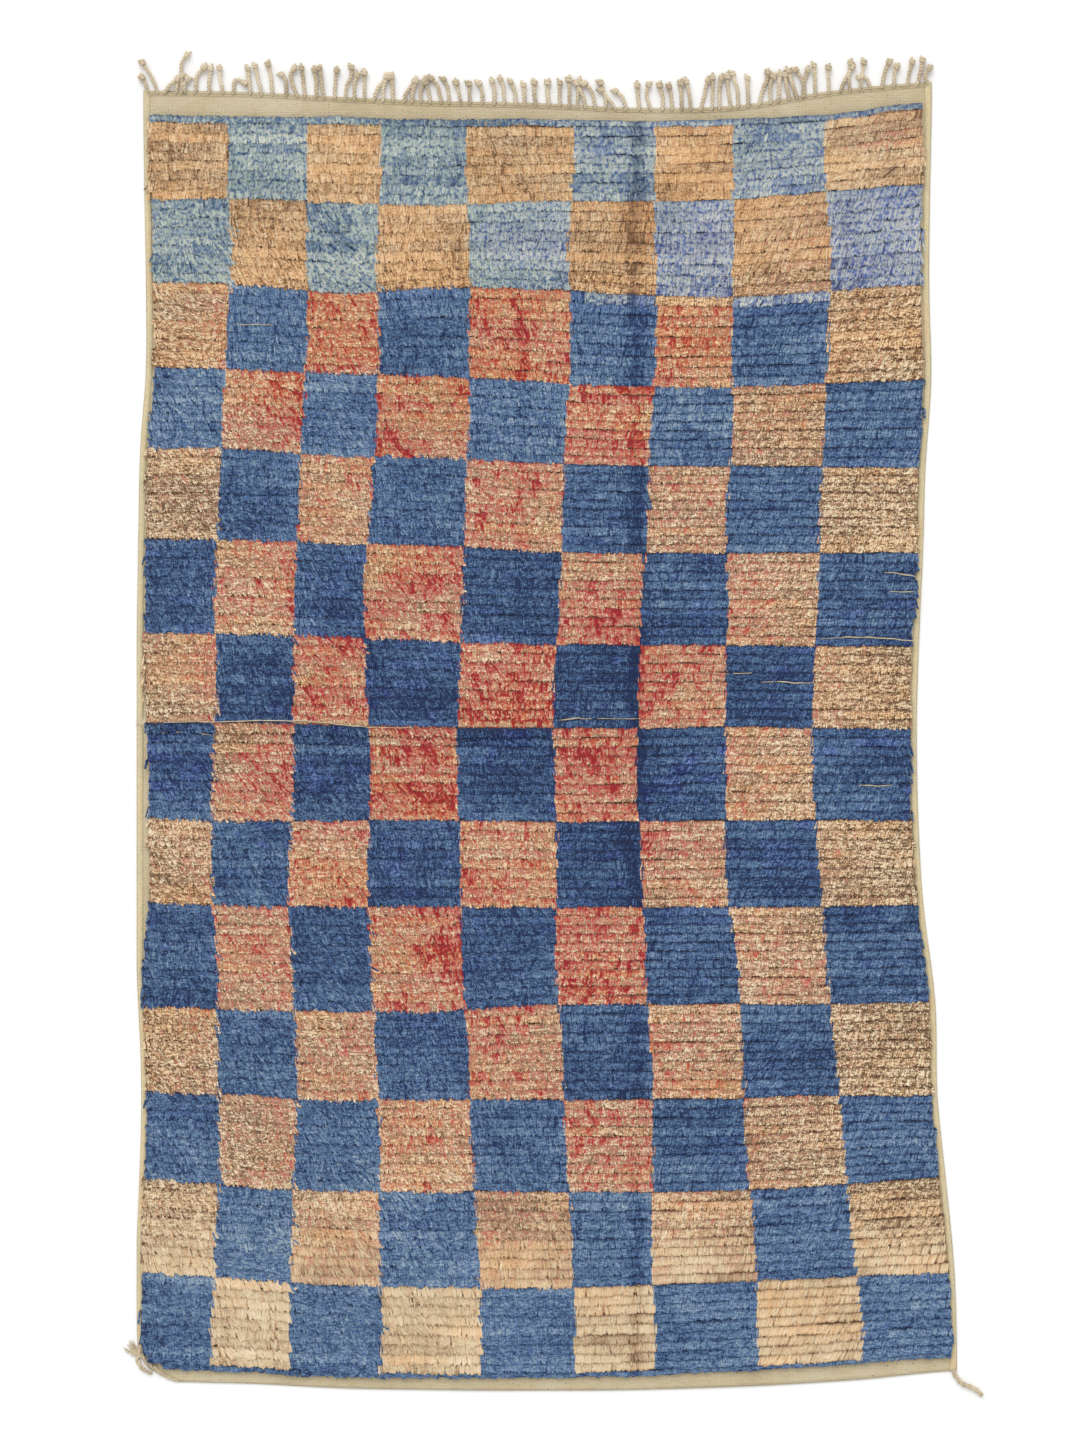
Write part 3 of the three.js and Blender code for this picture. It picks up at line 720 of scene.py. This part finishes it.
# The yarn is thick and thin and loosely spun, so its tone changes every 5 mm along it and
# from strand to strand, and in dashes of 9 by 3 mm along the rows. The darker end of this is
# painted shade, for the gaps between strands and between rows.
step = add(tree, "Math MULTIPLY", (along, 7.5))
own_start = add(tree, "Math MULTIPLY", (light, 190.0))
step = add(tree, "Math ADD", (step, own_start))
on_lock = add(tree, "CombineXYZ", (step, aside))
slubs_and_gap_shade = add(tree, "TexNoise", {"Vector": on_lock, "Scale": 0.85, "Detail": 0.0}, noise_dimensions="2D")
place = add(tree, "TexCoord", out="Object")
drawn = add(tree, "Mapping", {"Vector": place, "Scale": (110, 320, 110)})
dashes = add(tree, "TexNoise", {"Vector": drawn, "Scale": 1.0, "Detail": 1.0})
slubs_and_gap_shade = add(tree, "Math MULTIPLY_ADD", (slubs_and_gap_shade, 0.6, dashes))
slub_and_gap_shade = add(tree, "MapRange", (slubs_and_gap_shade, 0.55, 1.02, -1.5, 0.6))
# It is most uneven where the red has run, and more even in the first and last two rows.
axes = add(tree, "SeparateXYZ", (place,)).node.outputs
uneven = add(tree, "MapRange", (axes["Y"], -1.04, -0.85, 0.15, 1.0))
calmed = add(tree, "MapRange", (axes["Y"], 0.78, 0.9, 1.0, 0.35))
by_red = add(tree, "Math MULTIPLY_ADD", (red, 0.9, 0.75))
uneven = add(tree, "Math MULTIPLY", (uneven, by_red))
uneven = add(tree, "Mix FLOAT", (blue, uneven, 0.5))
uneven = add(tree, "Math MULTIPLY", (uneven, calmed))
light = add(tree, "Math MULTIPLY_ADD", (slub_and_gap_shade, uneven, light))
# Towards the east each row stands up as a ridge, with painted shade where it comes out from
# under the row above and where it ends.
stops = [(0.42, "#000000"), (0.58, "#ffffff"), (0.85, "#ffffff"), (1.0, "#555555")]
ridge_shade = add(tree, "ValToRGB", (along,), stops)
strength = add(tree, "MapRange", (axes["X"], -0.35, 0.25, 0.2, 0.36))
strength = add(tree, "Math MULTIPLY", (strength, calmed))
off_ridge_shade = add(tree, "Math SUBTRACT", (ridge_shade, 1.0))
light = add(tree, "Math MULTIPLY_ADD", (off_ridge_shade, strength, light))
light = add(tree, "MapRange", (light, -1.0, 1.0))
tones = {
    "indigo": [(0.0, "#1a294d"), (0.2, "#375176"), (0.4, "#536e8f"), (0.6, "#7088a0"), (0.9, "#a4b2ba")],
    "violet": [(0.0, "#1c2858"), (0.2, "#3b4c86"), (0.4, "#596fa9"), (0.6, "#7286b6"), (0.9, "#9aaaca")],
    "faded": [(0.0, "#5b7078"), (0.38, "#a4b0aa"), (0.6, "#c2c7b9"), (0.9, "#d9d5c2")],
    "lilac": [(0.0, "#666e8c"), (0.38, "#b0b4b6"), (0.6, "#c8c8be"), (0.9, "#dbd7c7")],
    "cream": [(0.0, "#634c36"), (0.15, "#a3886a"), (0.38, "#d5c09d"), (0.6, "#e8d7b8"), (0.9, "#f0e4cb")],
    "tawny": [(0.0, "#6c492b"), (0.15, "#a67c53"), (0.38, "#d6aa79"), (0.6, "#e7c297"), (0.9, "#efd8b2")],
}
wool = {name: add(tree, "ValToRGB", (light,), stops) for name, stops in tones.items()}
flecks = add(tree, "TexNoise", {"Vector": place, "Scale": 140.0, "Detail": 1.0})
fleck = add(tree, "MapRange", (flecks, 0.3, 0.7, -0.45, 0.45))
strong, weak, pales = (
    add(tree, "Mix RGBA", (warm, wool[cool], wool[warmer]))
    for cool, warmer in (("indigo", "violet"), ("faded", "lilac"), ("cream", "tawny"))
)
# The washed wool has lost its blue in flecks too.
paled = add(tree, "Math MULTIPLY_ADD", (fleck, 2.2, 0.95))
paled = add(tree, "Math MULTIPLY", (paled, washed))
blues = add(tree, "Mix RGBA", (paled, strong, weak))
# The red is strongest low down between the rows and worn off the tips.
worn = add(tree, "MapRange", (along, 0.45, 1.0, 0.18, -0.14))
reddened = add(tree, "Math MULTIPLY_ADD", (slub_and_gap_shade, -0.16, worn))
taken = add(tree, "MapRange", (red, 0.1, 0.4))
reddened = add(tree, "Math MULTIPLY_ADD", (reddened, taken, red))
# It stands in flecks of about 5 mm where it is strong, on cool wool and on warm.
reddened = add(tree, "Math MULTIPLY_ADD", (fleck, red, reddened))
cool, tanned = (
    add(tree, "ValToRGB", (reddened,), stops)
    for stops in (
        [(0.15, "#d6ac90"), (0.45, "#c98571"), (0.75, "#b74d46"), (1.0, "#98242a")],
        [(0.15, "#d8ab80"), (0.45, "#cb8561"), (0.75, "#b84f39"), (1.0, "#9a2722")],
    )
)
madder = add(tree, "Mix RGBA", (add(tree, "MapRange", (warm, 0.25, 0.6)), cool, tanned))
redness = add(tree, "MapRange", (reddened, 0.12, 0.6))
pales = add(tree, "Mix RGBA", (redness, pales, madder))
dyed = add(tree, "Mix RGBA", (blue, pales, blues))
# Down at its knot the lock is painted darker, as painted shade, and there it is redder
# where the red has run.
pale_root_shade = add(tree, "Mix RGBA", (red, "#6c5037", "#742219"))
blue_root_shade = add(tree, "Mix RGBA", (washed, "#182749", "#435773"))
root_shade = add(tree, "Mix RGBA", (blue, pale_root_shade, blue_root_shade))
root_shade_share = add(tree, "MapRange", (along, 0.38, 0.46, 0.95, 0.0))
add(tree, "Mix RGBA", (root_shade_share, dyed, root_shade), to=surface["Base Color"])


def bake_patches(piece, count):
    """Gives each lock a small patch of its own on the piece's map, row by row."""
    layer = piece.data.uv_layers["OFBake"]
    uv = np.empty(len(layer.data) * 2, np.float32)
    layer.data.foreach_get("uv", uv)
    side = math.ceil(math.sqrt(count))
    cell = np.column_stack([np.arange(count) % side, np.arange(count) // side])
    uv = (cell[:, None, :] + 0.08 + 0.84 * uv.reshape(count, -1, 2)) / side
    layer.data.foreach_set("uv", uv.astype(np.float32).ravel())


def pile_bed(name):
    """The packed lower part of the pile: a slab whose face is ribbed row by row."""
    lines, heights = [0.0], [0.0]
    for check_row, rows in enumerate(PILE_ROWS):
        for row in range(rows):
            here, past = row_line(check_row, row), row_line(check_row, row + 1)
            lines += [here + (past - here) * share for share in (0.2, 0.78, 1)]
            heights += [BED_CREST, BED_CREST, BED_GROOVE]
    heights[-3:] = [BED_GROOVE, BED_GROOVE, BED_GROOVE / 2]
    lines, heights = np.array(lines), np.array(heights)[:, None]
    start, end = pile_ends(lines)
    edges = np.column_stack([start + BED_INSET[0], check_sides(lines), end - BED_INSET[1]])
    steps = np.linspace(0, 9, 28)
    x = np.array([np.interp(steps, range(10), edge) for edge in edges])
    across = share_across(x, lines[:, None])
    y = weft_y(across, lines[:, None])
    share = 1 - 0.2 * np.exp(-(((x - LONG_FOLD["x"]) / 50) ** 2))
    z = CLOTH_THICKNESS + cloth_lift(x, y, across) * 0.5 + heights * share
    top = np.stack([x, y, z], -1).reshape(-1, 3)
    faces, rim = grid_faces(*x.shape)
    foot = len(top) + np.arange(len(rim))
    points = np.concatenate([top, top[rim] * (1, 1, 0) + (0, 0, CLOTH_THICKNESS - 0.5)])
    piece = mesh_piece(name, points, faces + faces_round(rim, foot) + [foot[::-1]])
    # Its sides have the colour of the check beside them.
    inside = np.clip(steps, 0.02, 8.98), np.clip(lines, 0.02, LAST_LINE - 0.02)[:, None]
    place = [np.broadcast_to(part, x.shape) for part in (*inside, heights < BED_CREST)]
    place = np.stack(place, -1).reshape(-1, 3)
    give(piece, "check_place", np.concatenate([place, place[rim]]))
    return piece


# The same wool packed together at its knots, seen only in chinks between the locks.
packed_wool, tree, surface = new_finish("packed pile wool", 0.95, 0.1)
blue_check, parts = check_marks(tree)
early = add(tree, "Math LESS_THAN", (parts[1], 2.05))
place = add(tree, "TexCoord", out="Object")
stretched = add(tree, "Mapping", {"Vector": place, "Scale": (520, 220, 1)})
tufts = add(tree, "TexNoise", {"Vector": stretched, "Scale": 1.0, "Detail": 1.0})
pale, indigo, faded = (
    add(tree, "ValToRGB", (tufts,), list(zip((0.35, 0.5, 0.65), codes)))
    for codes in (
        ("#8a5f48", "#bb9472", "#ddbb96"),
        ("#26385f", "#3f5a86", "#6d88ab"),
        ("#61738c", "#8f9dab", "#bcc2c0"),
    )
)
blues = add(tree, "Mix RGBA", (early, indigo, faded))
shown = add(tree, "Mix RGBA", (blue_check, pale, blues))
# Down in the grooves it is painted darker, as painted shade, and redder where the dye has run.
groove_shade = add(tree, "Mix RGBA", (blue_check, "#5d3222", "#1f2d52"))
deep = add(tree, "MapRange", (parts[2], 0.3, 0.9))
add(tree, "Mix RGBA", (deep, shown, groove_shade), to=surface["Base Color"])
add(tree, "Bump", {"Height": tufts, "Strength": 0.6, "Distance": 0.001}, to=surface["Normal"])

bed = pile_bed("pile_bed")
bed.data.materials.append(packed_wool)
part_of_rug(bed, "woven_rug")

lock_piece = lock_mesh("lock")
for number, (first, last) in enumerate(PIECE_CHECKS, 1):
    locks = locks_in(first, last)
    lie = lie_of(locks, 900 + number)
    x, y = locks["x"], locks["y"]
    z = cloth_lift(x, y, locks["across"]) + CLOTH_THICKNESS - KNOT_DEPTH
    source = mesh_piece(f"pile_{number}", np.column_stack([x, y, z]))
    for fact, values in {**lie, **dye_of(locks, lie["lean"], lie["sunk"], 70 + number)}.items():
        give(source, fact, values)
    pile = made_by(knotting, source, {"Lock": lock_piece, "Bend": LOCK_SWAY * MM, "Wool": pile_wool})
    bake_patches(pile, len(x))
    part_of_rug(pile, "woven_rug")
bpy.data.objects.remove(lock_piece)

# ---- The shown wefts -----------------------------------------------------------------
# Where the rows have parted, single wefts of the ground weave show between them as thin
# cream lines: along the old cross fold, and near the east side. Each is one plain strand,
# given by its thickness and the places that it runs through, in mm.
SHOWN_WEFTS = [
    (1.1, [(-757, 0), (-700, 3), (-657, 2), (-580, 5), (-502, 4), (-453, 2), (-405, -4), (-356, -8),
           (-270, -10)]),
    (0.8, [(-776, -17), (-748, -20)]),
    (0.9, [(-735, -18), (-712, -17)]),
    (0.8, [(-694, -19), (-661, -23)]),
    (1.3, [(516, 162), (571, 167), (635, 165), (703, 158)]),
    (1.1, [(346, 96), (388, 97)]),
    (0.7, [(272, 98), (340, 95)]),
    (1.2, [(401, 79), (430, 80), (466, 78), (506, 78)]),
    (1.1, [(10, 6), (45, 9), (74, 8)]),
    (0.7, [(84, 8), (170, 9)]),
    (1.1, [(641, 292), (664, 290), (702, 284)]),
    (0.8, [(650, 254), (700, 254)]),
    (1.1, [(588, -120), (622, -122), (657, -121)]),
    (0.8, [(-620, 772), (-580, 773), (-541, 771)]),
]

# Plain yarn: one round strand down a path.
spinning, given = new_tree("plain yarn", {"Sides": "Int", "Wool": "Material"})
girth = add(spinning, "InputNamedAttribute", {"Name": "girth"})
curve = add(spinning, "MeshToCurve", (given["Geometry"],))
section = add(spinning, "CurvePrimitiveCircle", {"Resolution": given["Sides"], "Radius": 1.0})
strand = {"Curve": curve, "Profile Curve": section, "Scale": girth, "Fill Caps": True}
close_tree(spinning, add(spinning, "CurveToMesh", strand), given["Wool"])


def spun(name, paths, girths, wool, node, sides):
    """A piece of plain yarn down its paths, with so many sides."""
    source = path_piece(name, paths, girths)
    part_of_rug(made_by(spinning, source, {"Sides": sides, "Wool": wool}), node)


weft_paths, weft_girths = [], []
for thick, stations in SHOWN_WEFTS:
    at_x, at_y = np.array(stations, float).T
    x = np.arange(at_x[0], at_x[-1] + 1, 4.0)
    y = np.interp(x, at_x, at_y) + 0.8 * drift(x, x * 0, 15, 20, 50)
    z = cloth_lift(x, y, share_across(x, 7)) + LOCK_END["high"] + CLOTH_THICKNESS + 0.3
    ends = np.sin(np.linspace(0.25, math.pi - 0.25, len(x))) ** 0.5
    weft_paths.append(np.column_stack([x, y, z - 2 * (1 - ends)]))
    weft_girths.append(thick * ends * (1 + 0.45 * drift(x, x * 0, 14, 20, 51)))
spun("shown_wefts", weft_paths, weft_girths, flat_weave, "woven_rug", sides=6)

# ---- The twined edge and the fringe --------------------------------------------------
# Past the fringed band the warps are twined off in two rows, then twisted in pairs into
# short cords, each with a knot near its end and a little brush of loose wool.
# The twining's thickness and how far in from the edge its two rows run, the tassels'
# thickness, how far in they start and how high they lie, how big their knots are, and how
# long a brush is and how thick its yarns are from root to tip. All in mm.
EDGE_CORD = 1.3
EDGE_ROWS = (4.5, 9.0)
TASSEL_CORD = 4.6
TASSEL_ROOT = 6.0
TASSEL_HEIGHT = 5.2
KNOT_SIZES = (6.8, 8.4)
BRUSH = 9.0
BRUSH_YARN = (1.9, 1.6, 0.8)
# The tassels from west to east. Each one's x at its root, then the places that it passes on
# its way to the middle of its knot. Many lie across their neighbours or are curled over.
TASSELS = [
    (-788, (-794, 1246), (-800, 1253)), (-768, (-783, 1260), (-799, 1282)),
    (-757, (-741, 1241), (-730, 1250)), (-733, (-731, 1243), (-722, 1256)),
    (-722, (-722, 1257), (-725, 1281), (-712, 1297)), (-715, (-719, 1239), (-710, 1250)),
    (-697, (-693, 1257), (-679, 1273)), (-670, (-668, 1250), (-666, 1271)),
    (-642, (-649, 1255), (-649, 1271)), (-622, (-622, 1248), (-615, 1252), (-600, 1242)),
    (-588, (-593, 1249), (-594, 1270)), (-567, (-575, 1255), (-580, 1275)),
    (-546, (-550, 1260), (-555, 1279)), (-519, (-520, 1249), (-529, 1259)),
    (-498, (-509, 1246), (-514, 1262), (-504, 1270)), (-483, (-487, 1252), (-490, 1272)),
    (-461, (-461, 1249), (-465, 1267)), (-447, (-451, 1252), (-455, 1271)),
    (-426, (-425, 1246), (-421, 1267)), (-406, (-402, 1241), (-391, 1255), (-393, 1273)),
    (-387, (-388, 1241), (-381, 1258)), (-368, (-368, 1238), (-368, 1262)),
    (-350, (-343, 1233), (-330, 1243), (-325, 1255)), (-332, (-331, 1238), (-320, 1256)),
    (-312, (-314, 1238), (-315, 1255)), (-291, (-288, 1222), (-277, 1235), (-270, 1246)),
    (-275, (-274, 1226), (-266, 1247)), (-258, (-259, 1229), (-248, 1249)),
    (-240, (-243, 1227), (-250, 1243)), (-218, (-225, 1238), (-238, 1251)),
    (-203, (-205, 1232), (-214, 1250)), (-180, (-186, 1232), (-190, 1243)),
    (-163, (-163, 1226), (-165, 1241)), (-139, (-138, 1228), (-146, 1242)),
    (-115, (-115, 1232), (-120, 1246)), (-97, (-97, 1238), (-104, 1250)), (-73, (-77, 1232), (-84, 1245)),
    (-56, (-57, 1221), (-59, 1239)), (-34, (-38, 1221), (-38, 1243)), (-9, (-13, 1227), (-12, 1243)),
    (12, (11, 1227), (12, 1243)), (30, (31, 1229), (29, 1249)), (46, (46, 1227), (50, 1247)),
    (62, (55, 1221), (44, 1241)), (81, (75, 1227), (59, 1241)), (99, (103, 1213), (97, 1224), (90, 1243)),
    (120, (106, 1213), (91, 1228)), (140, (134, 1215), (119, 1227)), (166, (163, 1221), (162, 1238)),
    (189, (179, 1216), (184, 1239)), (211, (211, 1220), (205, 1238)), (230, (228, 1220), (223, 1236)),
    (249, (247, 1223), (246, 1242)), (266, (263, 1225), (257, 1245)), (285, (293, 1223), (299, 1247)),
    (307, (308, 1228), (308, 1253)), (322, (321, 1225), (325, 1252)), (343, (338, 1234), (336, 1255)),
    (358, (357, 1231), (347, 1261)), (378, (376, 1228), (376, 1252)),
    (399, (405, 1231), (416, 1248), (415, 1263)), (421, (419, 1239), (426, 1256)),
    (436, (437, 1242), (440, 1260)), (458, (452, 1234), (449, 1258)), (473, (462, 1244), (455, 1266)),
    (482, (485, 1242), (478, 1256), (469, 1268)), (487, (486, 1245), (493, 1268)),
    (508, (507, 1250), (505, 1277)), (534, (533, 1250), (533, 1272)),
    (555, (563, 1245), (572, 1261), (580, 1273)), (576, (572, 1250), (576, 1281)),
    (594, (599, 1261), (602, 1283)), (616, (608, 1253), (595, 1253)), (637, (642, 1264), (651, 1283)),
    (660, (661, 1260), (666, 1274)), (687, (690, 1264), (696, 1284)), (705, (712, 1264), (716, 1287)),
    (727, (719, 1257), (729, 1271)),
]


def edge_y(x):
    """The fringed band's edge, which the twining follows."""
    across = share_across(x, 0)
    return weft_y(across, 0.0) + smooth_through(FRINGED_BAND, across)


def tassel_paths():
    """Each tassel's line from inside the twined edge to its knot, and how thick it is."""
    chance = np.random.default_rng(4)
    paths, girths = [], []
    for number, (root, *places) in enumerate(TASSELS):
        places = np.array([(root, edge_y(np.float64(root)) - TASSEL_ROOT), *places], float)
        so_far = np.concatenate([[0], np.cumsum(np.hypot(*np.diff(places, axis=0).T))])
        share = np.linspace(0, 1, 13)
        x, y = (np.interp(share * so_far[-1], so_far, places[:, k]) for k in (0, 1))
        for _ in range(3):
            x[1:-1] = (x[:-2] + 2 * x[1:-1] + x[2:]) / 4
            y[1:-1] = (y[:-2] + 2 * y[1:-1] + y[2:]) / 4
        x[1:-1] += chance.normal(0, 0.5, 11)
        z = TASSEL_HEIGHT + (0.6 + 1.6 * (number % 3)) * np.sin(math.pi * share)
        paths.append(np.column_stack([x, y, z]))
        girths.append(TASSEL_CORD * chance.uniform(0.9, 1.1) * (0.72 + 0.28 * rise(share, 0, 0.25)))
    return paths, girths


# Twisted cord: two plies wound round a path. How thick each ply is and how far out it lies,
# as shares of the cord's thickness.
PLY_GIRTH = 0.56
PLY_OFFSET = 0.45
sizes = {"Step": "Float", "Turn length": "Float", "Wool": "Material"}
twisting, given = new_tree("twisted cord", sizes)
girth = add(twisting, "InputNamedAttribute", {"Name": "girth"})
curve = add(twisting, "MeshToCurve", (given["Geometry"],))
even = add(twisting, "ResampleCurve LENGTH", {"Curve": curve, "Length": given["Step"]})
level = add(twisting, "SetCurveNormal Z_UP", {"Curve": even})
normal = add(twisting, "InputNormal")
upward = add(twisting, "VectorMath CROSS_PRODUCT", (add(twisting, "InputTangent"), normal))
so_far = add(twisting, "SplineParameter", out="Length")
turns = add(twisting, "Math DIVIDE", (so_far, given["Turn length"]))
angle = add(twisting, "Math MULTIPLY", (turns, 2 * math.pi))
section = add(twisting, "CurvePrimitiveCircle", {"Resolution": 5, "Radius": PLY_GIRTH})
joined = add(twisting, "JoinGeometry")
for phase in (0.0, math.pi):
    at = add(twisting, "Math ADD", (angle, phase))
    out = []
    for wave, axis in (("COSINE", normal), ("SINE", upward)):
        part = add(twisting, f"Math {wave}", (at,))
        part = add(twisting, "Math MULTIPLY", (part, girth))
        part = add(twisting, "Math MULTIPLY", (part, PLY_OFFSET))
        out.append(add(twisting, "VectorMath SCALE", (axis, part)))
    shift = add(twisting, "VectorMath ADD", out)
    wound = add(twisting, "SetPosition", {"Geometry": level, "Offset": shift})
    ply = {"Curve": wound, "Profile Curve": section, "Scale": girth, "Fill Caps": True}
    add(twisting, "CurveToMesh", ply, to=joined.node.inputs[0])
close_tree(twisting, joined, given["Wool"])


def twisted(name, paths, girths, wool, node, step, turn_length):
    """A piece of twisted cord down its paths, with its turns this long, in mm."""
    sizes = {"Step": step * MM, "Turn length": turn_length * MM, "Wool": wool}
    part_of_rug(made_by(twisting, path_piece(name, paths, girths), sizes), node)


# Twisted undyed warp wool, greyer and darker than the weave from handling.
warp_wool, tree, surface = new_finish("twisted undyed warp wool", 0.9, 0.2)
place = add(tree, "TexCoord", out="Object")
fibres = add(tree, "TexNoise", {"Vector": place, "Scale": 300.0, "Detail": 3.0})
lots = add(tree, "TexNoise", {"Vector": place, "Scale": 22.0, "Detail": 1.0})
tone = add(tree, "Math ADD", (fibres, lots))
tone = add(tree, "Math MULTIPLY", (tone, 0.5))
stops = [(0.3, "#a08f76"), (0.5, "#cbbb9f"), (0.7, "#e6dac2")]
add(tree, "ValToRGB", (tone,), stops, to=surface["Base Color"])
add(tree, "Bump", {"Height": fibres, "Strength": 0.5, "Distance": 0.0008}, to=surface["Normal"])

edge_x = np.arange(WEST_SIDE[0] + 3, EAST_SIDE[0] - 2, 12.0)
edge_paths = []
for offset in EDGE_ROWS:
    line_y = edge_y(edge_x) - offset
    z = cloth_lift(edge_x, line_y, share_across(edge_x, 0)) + CLOTH_THICKNESS + 0.5
    edge_paths.append(np.column_stack([edge_x, line_y, z]))
edge_girths = [np.full(len(edge_x), EDGE_CORD)] * len(edge_paths)
twisted("twined_edge", edge_paths, edge_girths, flat_weave, "fringe_top", step=3.0, turn_length=9.0)
tassel_lines, tassel_girths = tassel_paths()
twisted("tassels", tassel_lines, tassel_girths, warp_wool, "fringe_top", step=3.2, turn_length=14.0)


def overhand_knot(centre, run, beside, size):
    """A small overhand knot: one and a half turns of the cord round itself."""
    return [
        centre + size * (0.5 * (math.cos(t) * beside + math.sin(t) * np.array([0, 0, 1.0])) + a * run)
        for t, a in zip(np.linspace(0, 3 * math.pi, 13), np.linspace(-0.45, 0.45, 13))
    ]


knot_paths, knot_girths, brush_paths, brush_girths = [], [], [], []
chance = np.random.default_rng(5)
for path in tassel_lines:
    size = chance.uniform(*KNOT_SIZES)
    at = path[-1] * (1, 1, 0) + (0, 0, 0.97 * size)
    heading = (at - path[-3]) * (1, 1, 0)
    run = heading / np.linalg.norm(heading)
    beside = np.array([run[1], -run[0], 0])
    knot_paths.append(overhand_knot(at, run, beside, size))
    knot_girths.append(np.full(13, 0.44 * size))
    # The brush carries the tassel's line on, or is bent aside by the knot.
    bent = run + beside * chance.uniform(-0.8, 0.8)
    for _ in range(4):
        spread = chance.uniform(-1, 1)
        start = at + run * 2 + np.array([0, 0, chance.uniform(-3, -1.5)])
        end = start + bent / np.linalg.norm(bent) * BRUSH * chance.uniform(0.7, 1.05) + beside * spread * 2.6
        end[2] = 2.2 + chance.uniform(0, 2.5)
        brush_paths.append([start, (start + end) / 2 + beside * spread, end])
        brush_girths.append(np.array(BRUSH_YARN))

spun("tassel_knots", knot_paths, knot_girths, warp_wool, "fringe_top", sides=6)
spun("tassel_brushes", brush_paths, brush_girths, warp_wool, "fringe_top", sides=4)

# ---- The corner ends -----------------------------------------------------------------
# At the plain end the selvedge cords were left long. The west one is folded back on itself
# along the turned corner, with a frayed wad at its start, and the east one is a twisted end.
# Each cord's route gives x, y, height and thickness.
WEST_CORD = [
    (-806, -1213, 5.0, 4.6), (-803, -1226, 5.6, 5.4), (-792, -1238, 5.8, 5.6),
    (-778, -1250, 5.6, 5.4), (-762, -1263, 5.0, 4.6), (-745, -1273, 4.0, 3.4),
    (-729, -1279, 3.0, 2.2),
]
WEST_LOOP = [
    (-806, -1224, 4.6, 4.4), (-809, -1237, 4.8, 4.6), (-803, -1250, 4.8, 4.6),
    (-792, -1259, 4.6, 4.4), (-780, -1263, 3.8, 3.4),
]
EAST_CORD = [
    (775, -1254, 5.4, 4.8), (778, -1264, 5.6, 5.2), (784, -1273, 5.8, 5.4), (791, -1282, 5.8, 5.4),
    (804, -1287, 5.8, 5.4), (817, -1292, 6.0, 5.6), (827, -1300, 6.2, 5.8), (832, -1306, 5.0, 4.6),
]
# The wad's loose ends all start here, and each one's tip lies at its own place.
WAD_START = (-808, -1225, 5.0)
WAD_TIPS = [
    (-834, -1218), (-836, -1213), (-831, -1222), (-829, -1207), (-826, -1202), (-823, -1198),
    (-819, -1199), (-822, -1228), (-817, -1206), (-830, -1216), (-825, -1211), (-820, -1219),
]

for name, routes, turn_length, node in (
    ("corner_cord_west", [WEST_CORD, WEST_LOOP], 34, "corner_tassel_left"),
    ("corner_cord_east", [EAST_CORD], 26, "corner_tassel_right"),
):
    routes = [np.array(route) for route in routes]
    paths, girths = [route[:, :3] for route in routes], [route[:, 3] for route in routes]
    twisted(name, paths, girths, warp_wool, node, step=2.5, turn_length=turn_length)

chance = np.random.default_rng(8)
wad_paths = []
for tip_x, tip_y in WAD_TIPS:
    start = WAD_START + chance.uniform(-3, 3, 3) * (1, 1, 0.6)
    tip = np.array([tip_x, tip_y, chance.uniform(1.2, 4.5)])
    middle = (start + tip) / 2 + chance.uniform(-3, 3, 3) * (1, 1, 0.5) + (0, 0, 1)
    share = np.linspace(0, 1, 6)[:, None]
    wad_paths.append(start * (1 - share) ** 2 + 2 * middle * share * (1 - share) + tip * share**2)
wad_girths = [np.linspace(2.4, 0.6, 6)] * len(wad_paths)
spun("corner_wad", wad_paths, wad_girths, warp_wool, "corner_tassel_left", sides=6)

# ---- The studio ----------------------------------------------------------------------
# A plain pale floor, one large soft light from past the fringed end, light all round, and
# a camera straight above at the photograph's framing.
# The photograph's frame on the floor: how long it is in m, and its middle in mm.
VIEW_HEIGHT = 2.794
VIEW_CENTRE = (-26.7, 5.8)
LENS = 85.0
SENSOR = 36.0
FLOOR_REACH = 9000

ways = ((-1, -1), (1, -1), (1, 1), (-1, 1))
corners = [(side * FLOOR_REACH, end * FLOOR_REACH, -0.3) for side, end in ways]
floor = mesh_piece("floor", corners, [(0, 1, 2, 3)])
paper, tree, surface = new_finish("white studio paper", 0.9, 0.0)
surface["Base Color"].default_value = linear("#f7f7f7")
floor.data.materials.append(paper)

world = bpy.data.worlds.new("studio")
world.use_nodes = True
world.node_tree.nodes["Background"].inputs[0].default_value = linear("#ffffff")
world.node_tree.nodes["Background"].inputs[1].default_value = 0.8
bpy.context.scene.world = world

key = bpy.data.objects.new("key_light", bpy.data.lights.new("key_light", "SUN"))
key.data.energy = 1.5
key.data.angle = math.radians(50)
key.rotation_euler = (math.radians(-42), math.radians(-14), 0)
bpy.context.scene.collection.objects.link(key)

camera = bpy.data.objects.new("camera", bpy.data.cameras.new("camera"))
camera.data.lens = LENS
camera.data.sensor_width = SENSOR
camera.location = (VIEW_CENTRE[0] * MM, VIEW_CENTRE[1] * MM, 0.01 + VIEW_HEIGHT * LENS / SENSOR)
bpy.context.scene.collection.objects.link(camera)
bpy.context.scene.camera = camera
bpy.context.scene.view_settings.view_transform = "Standard"
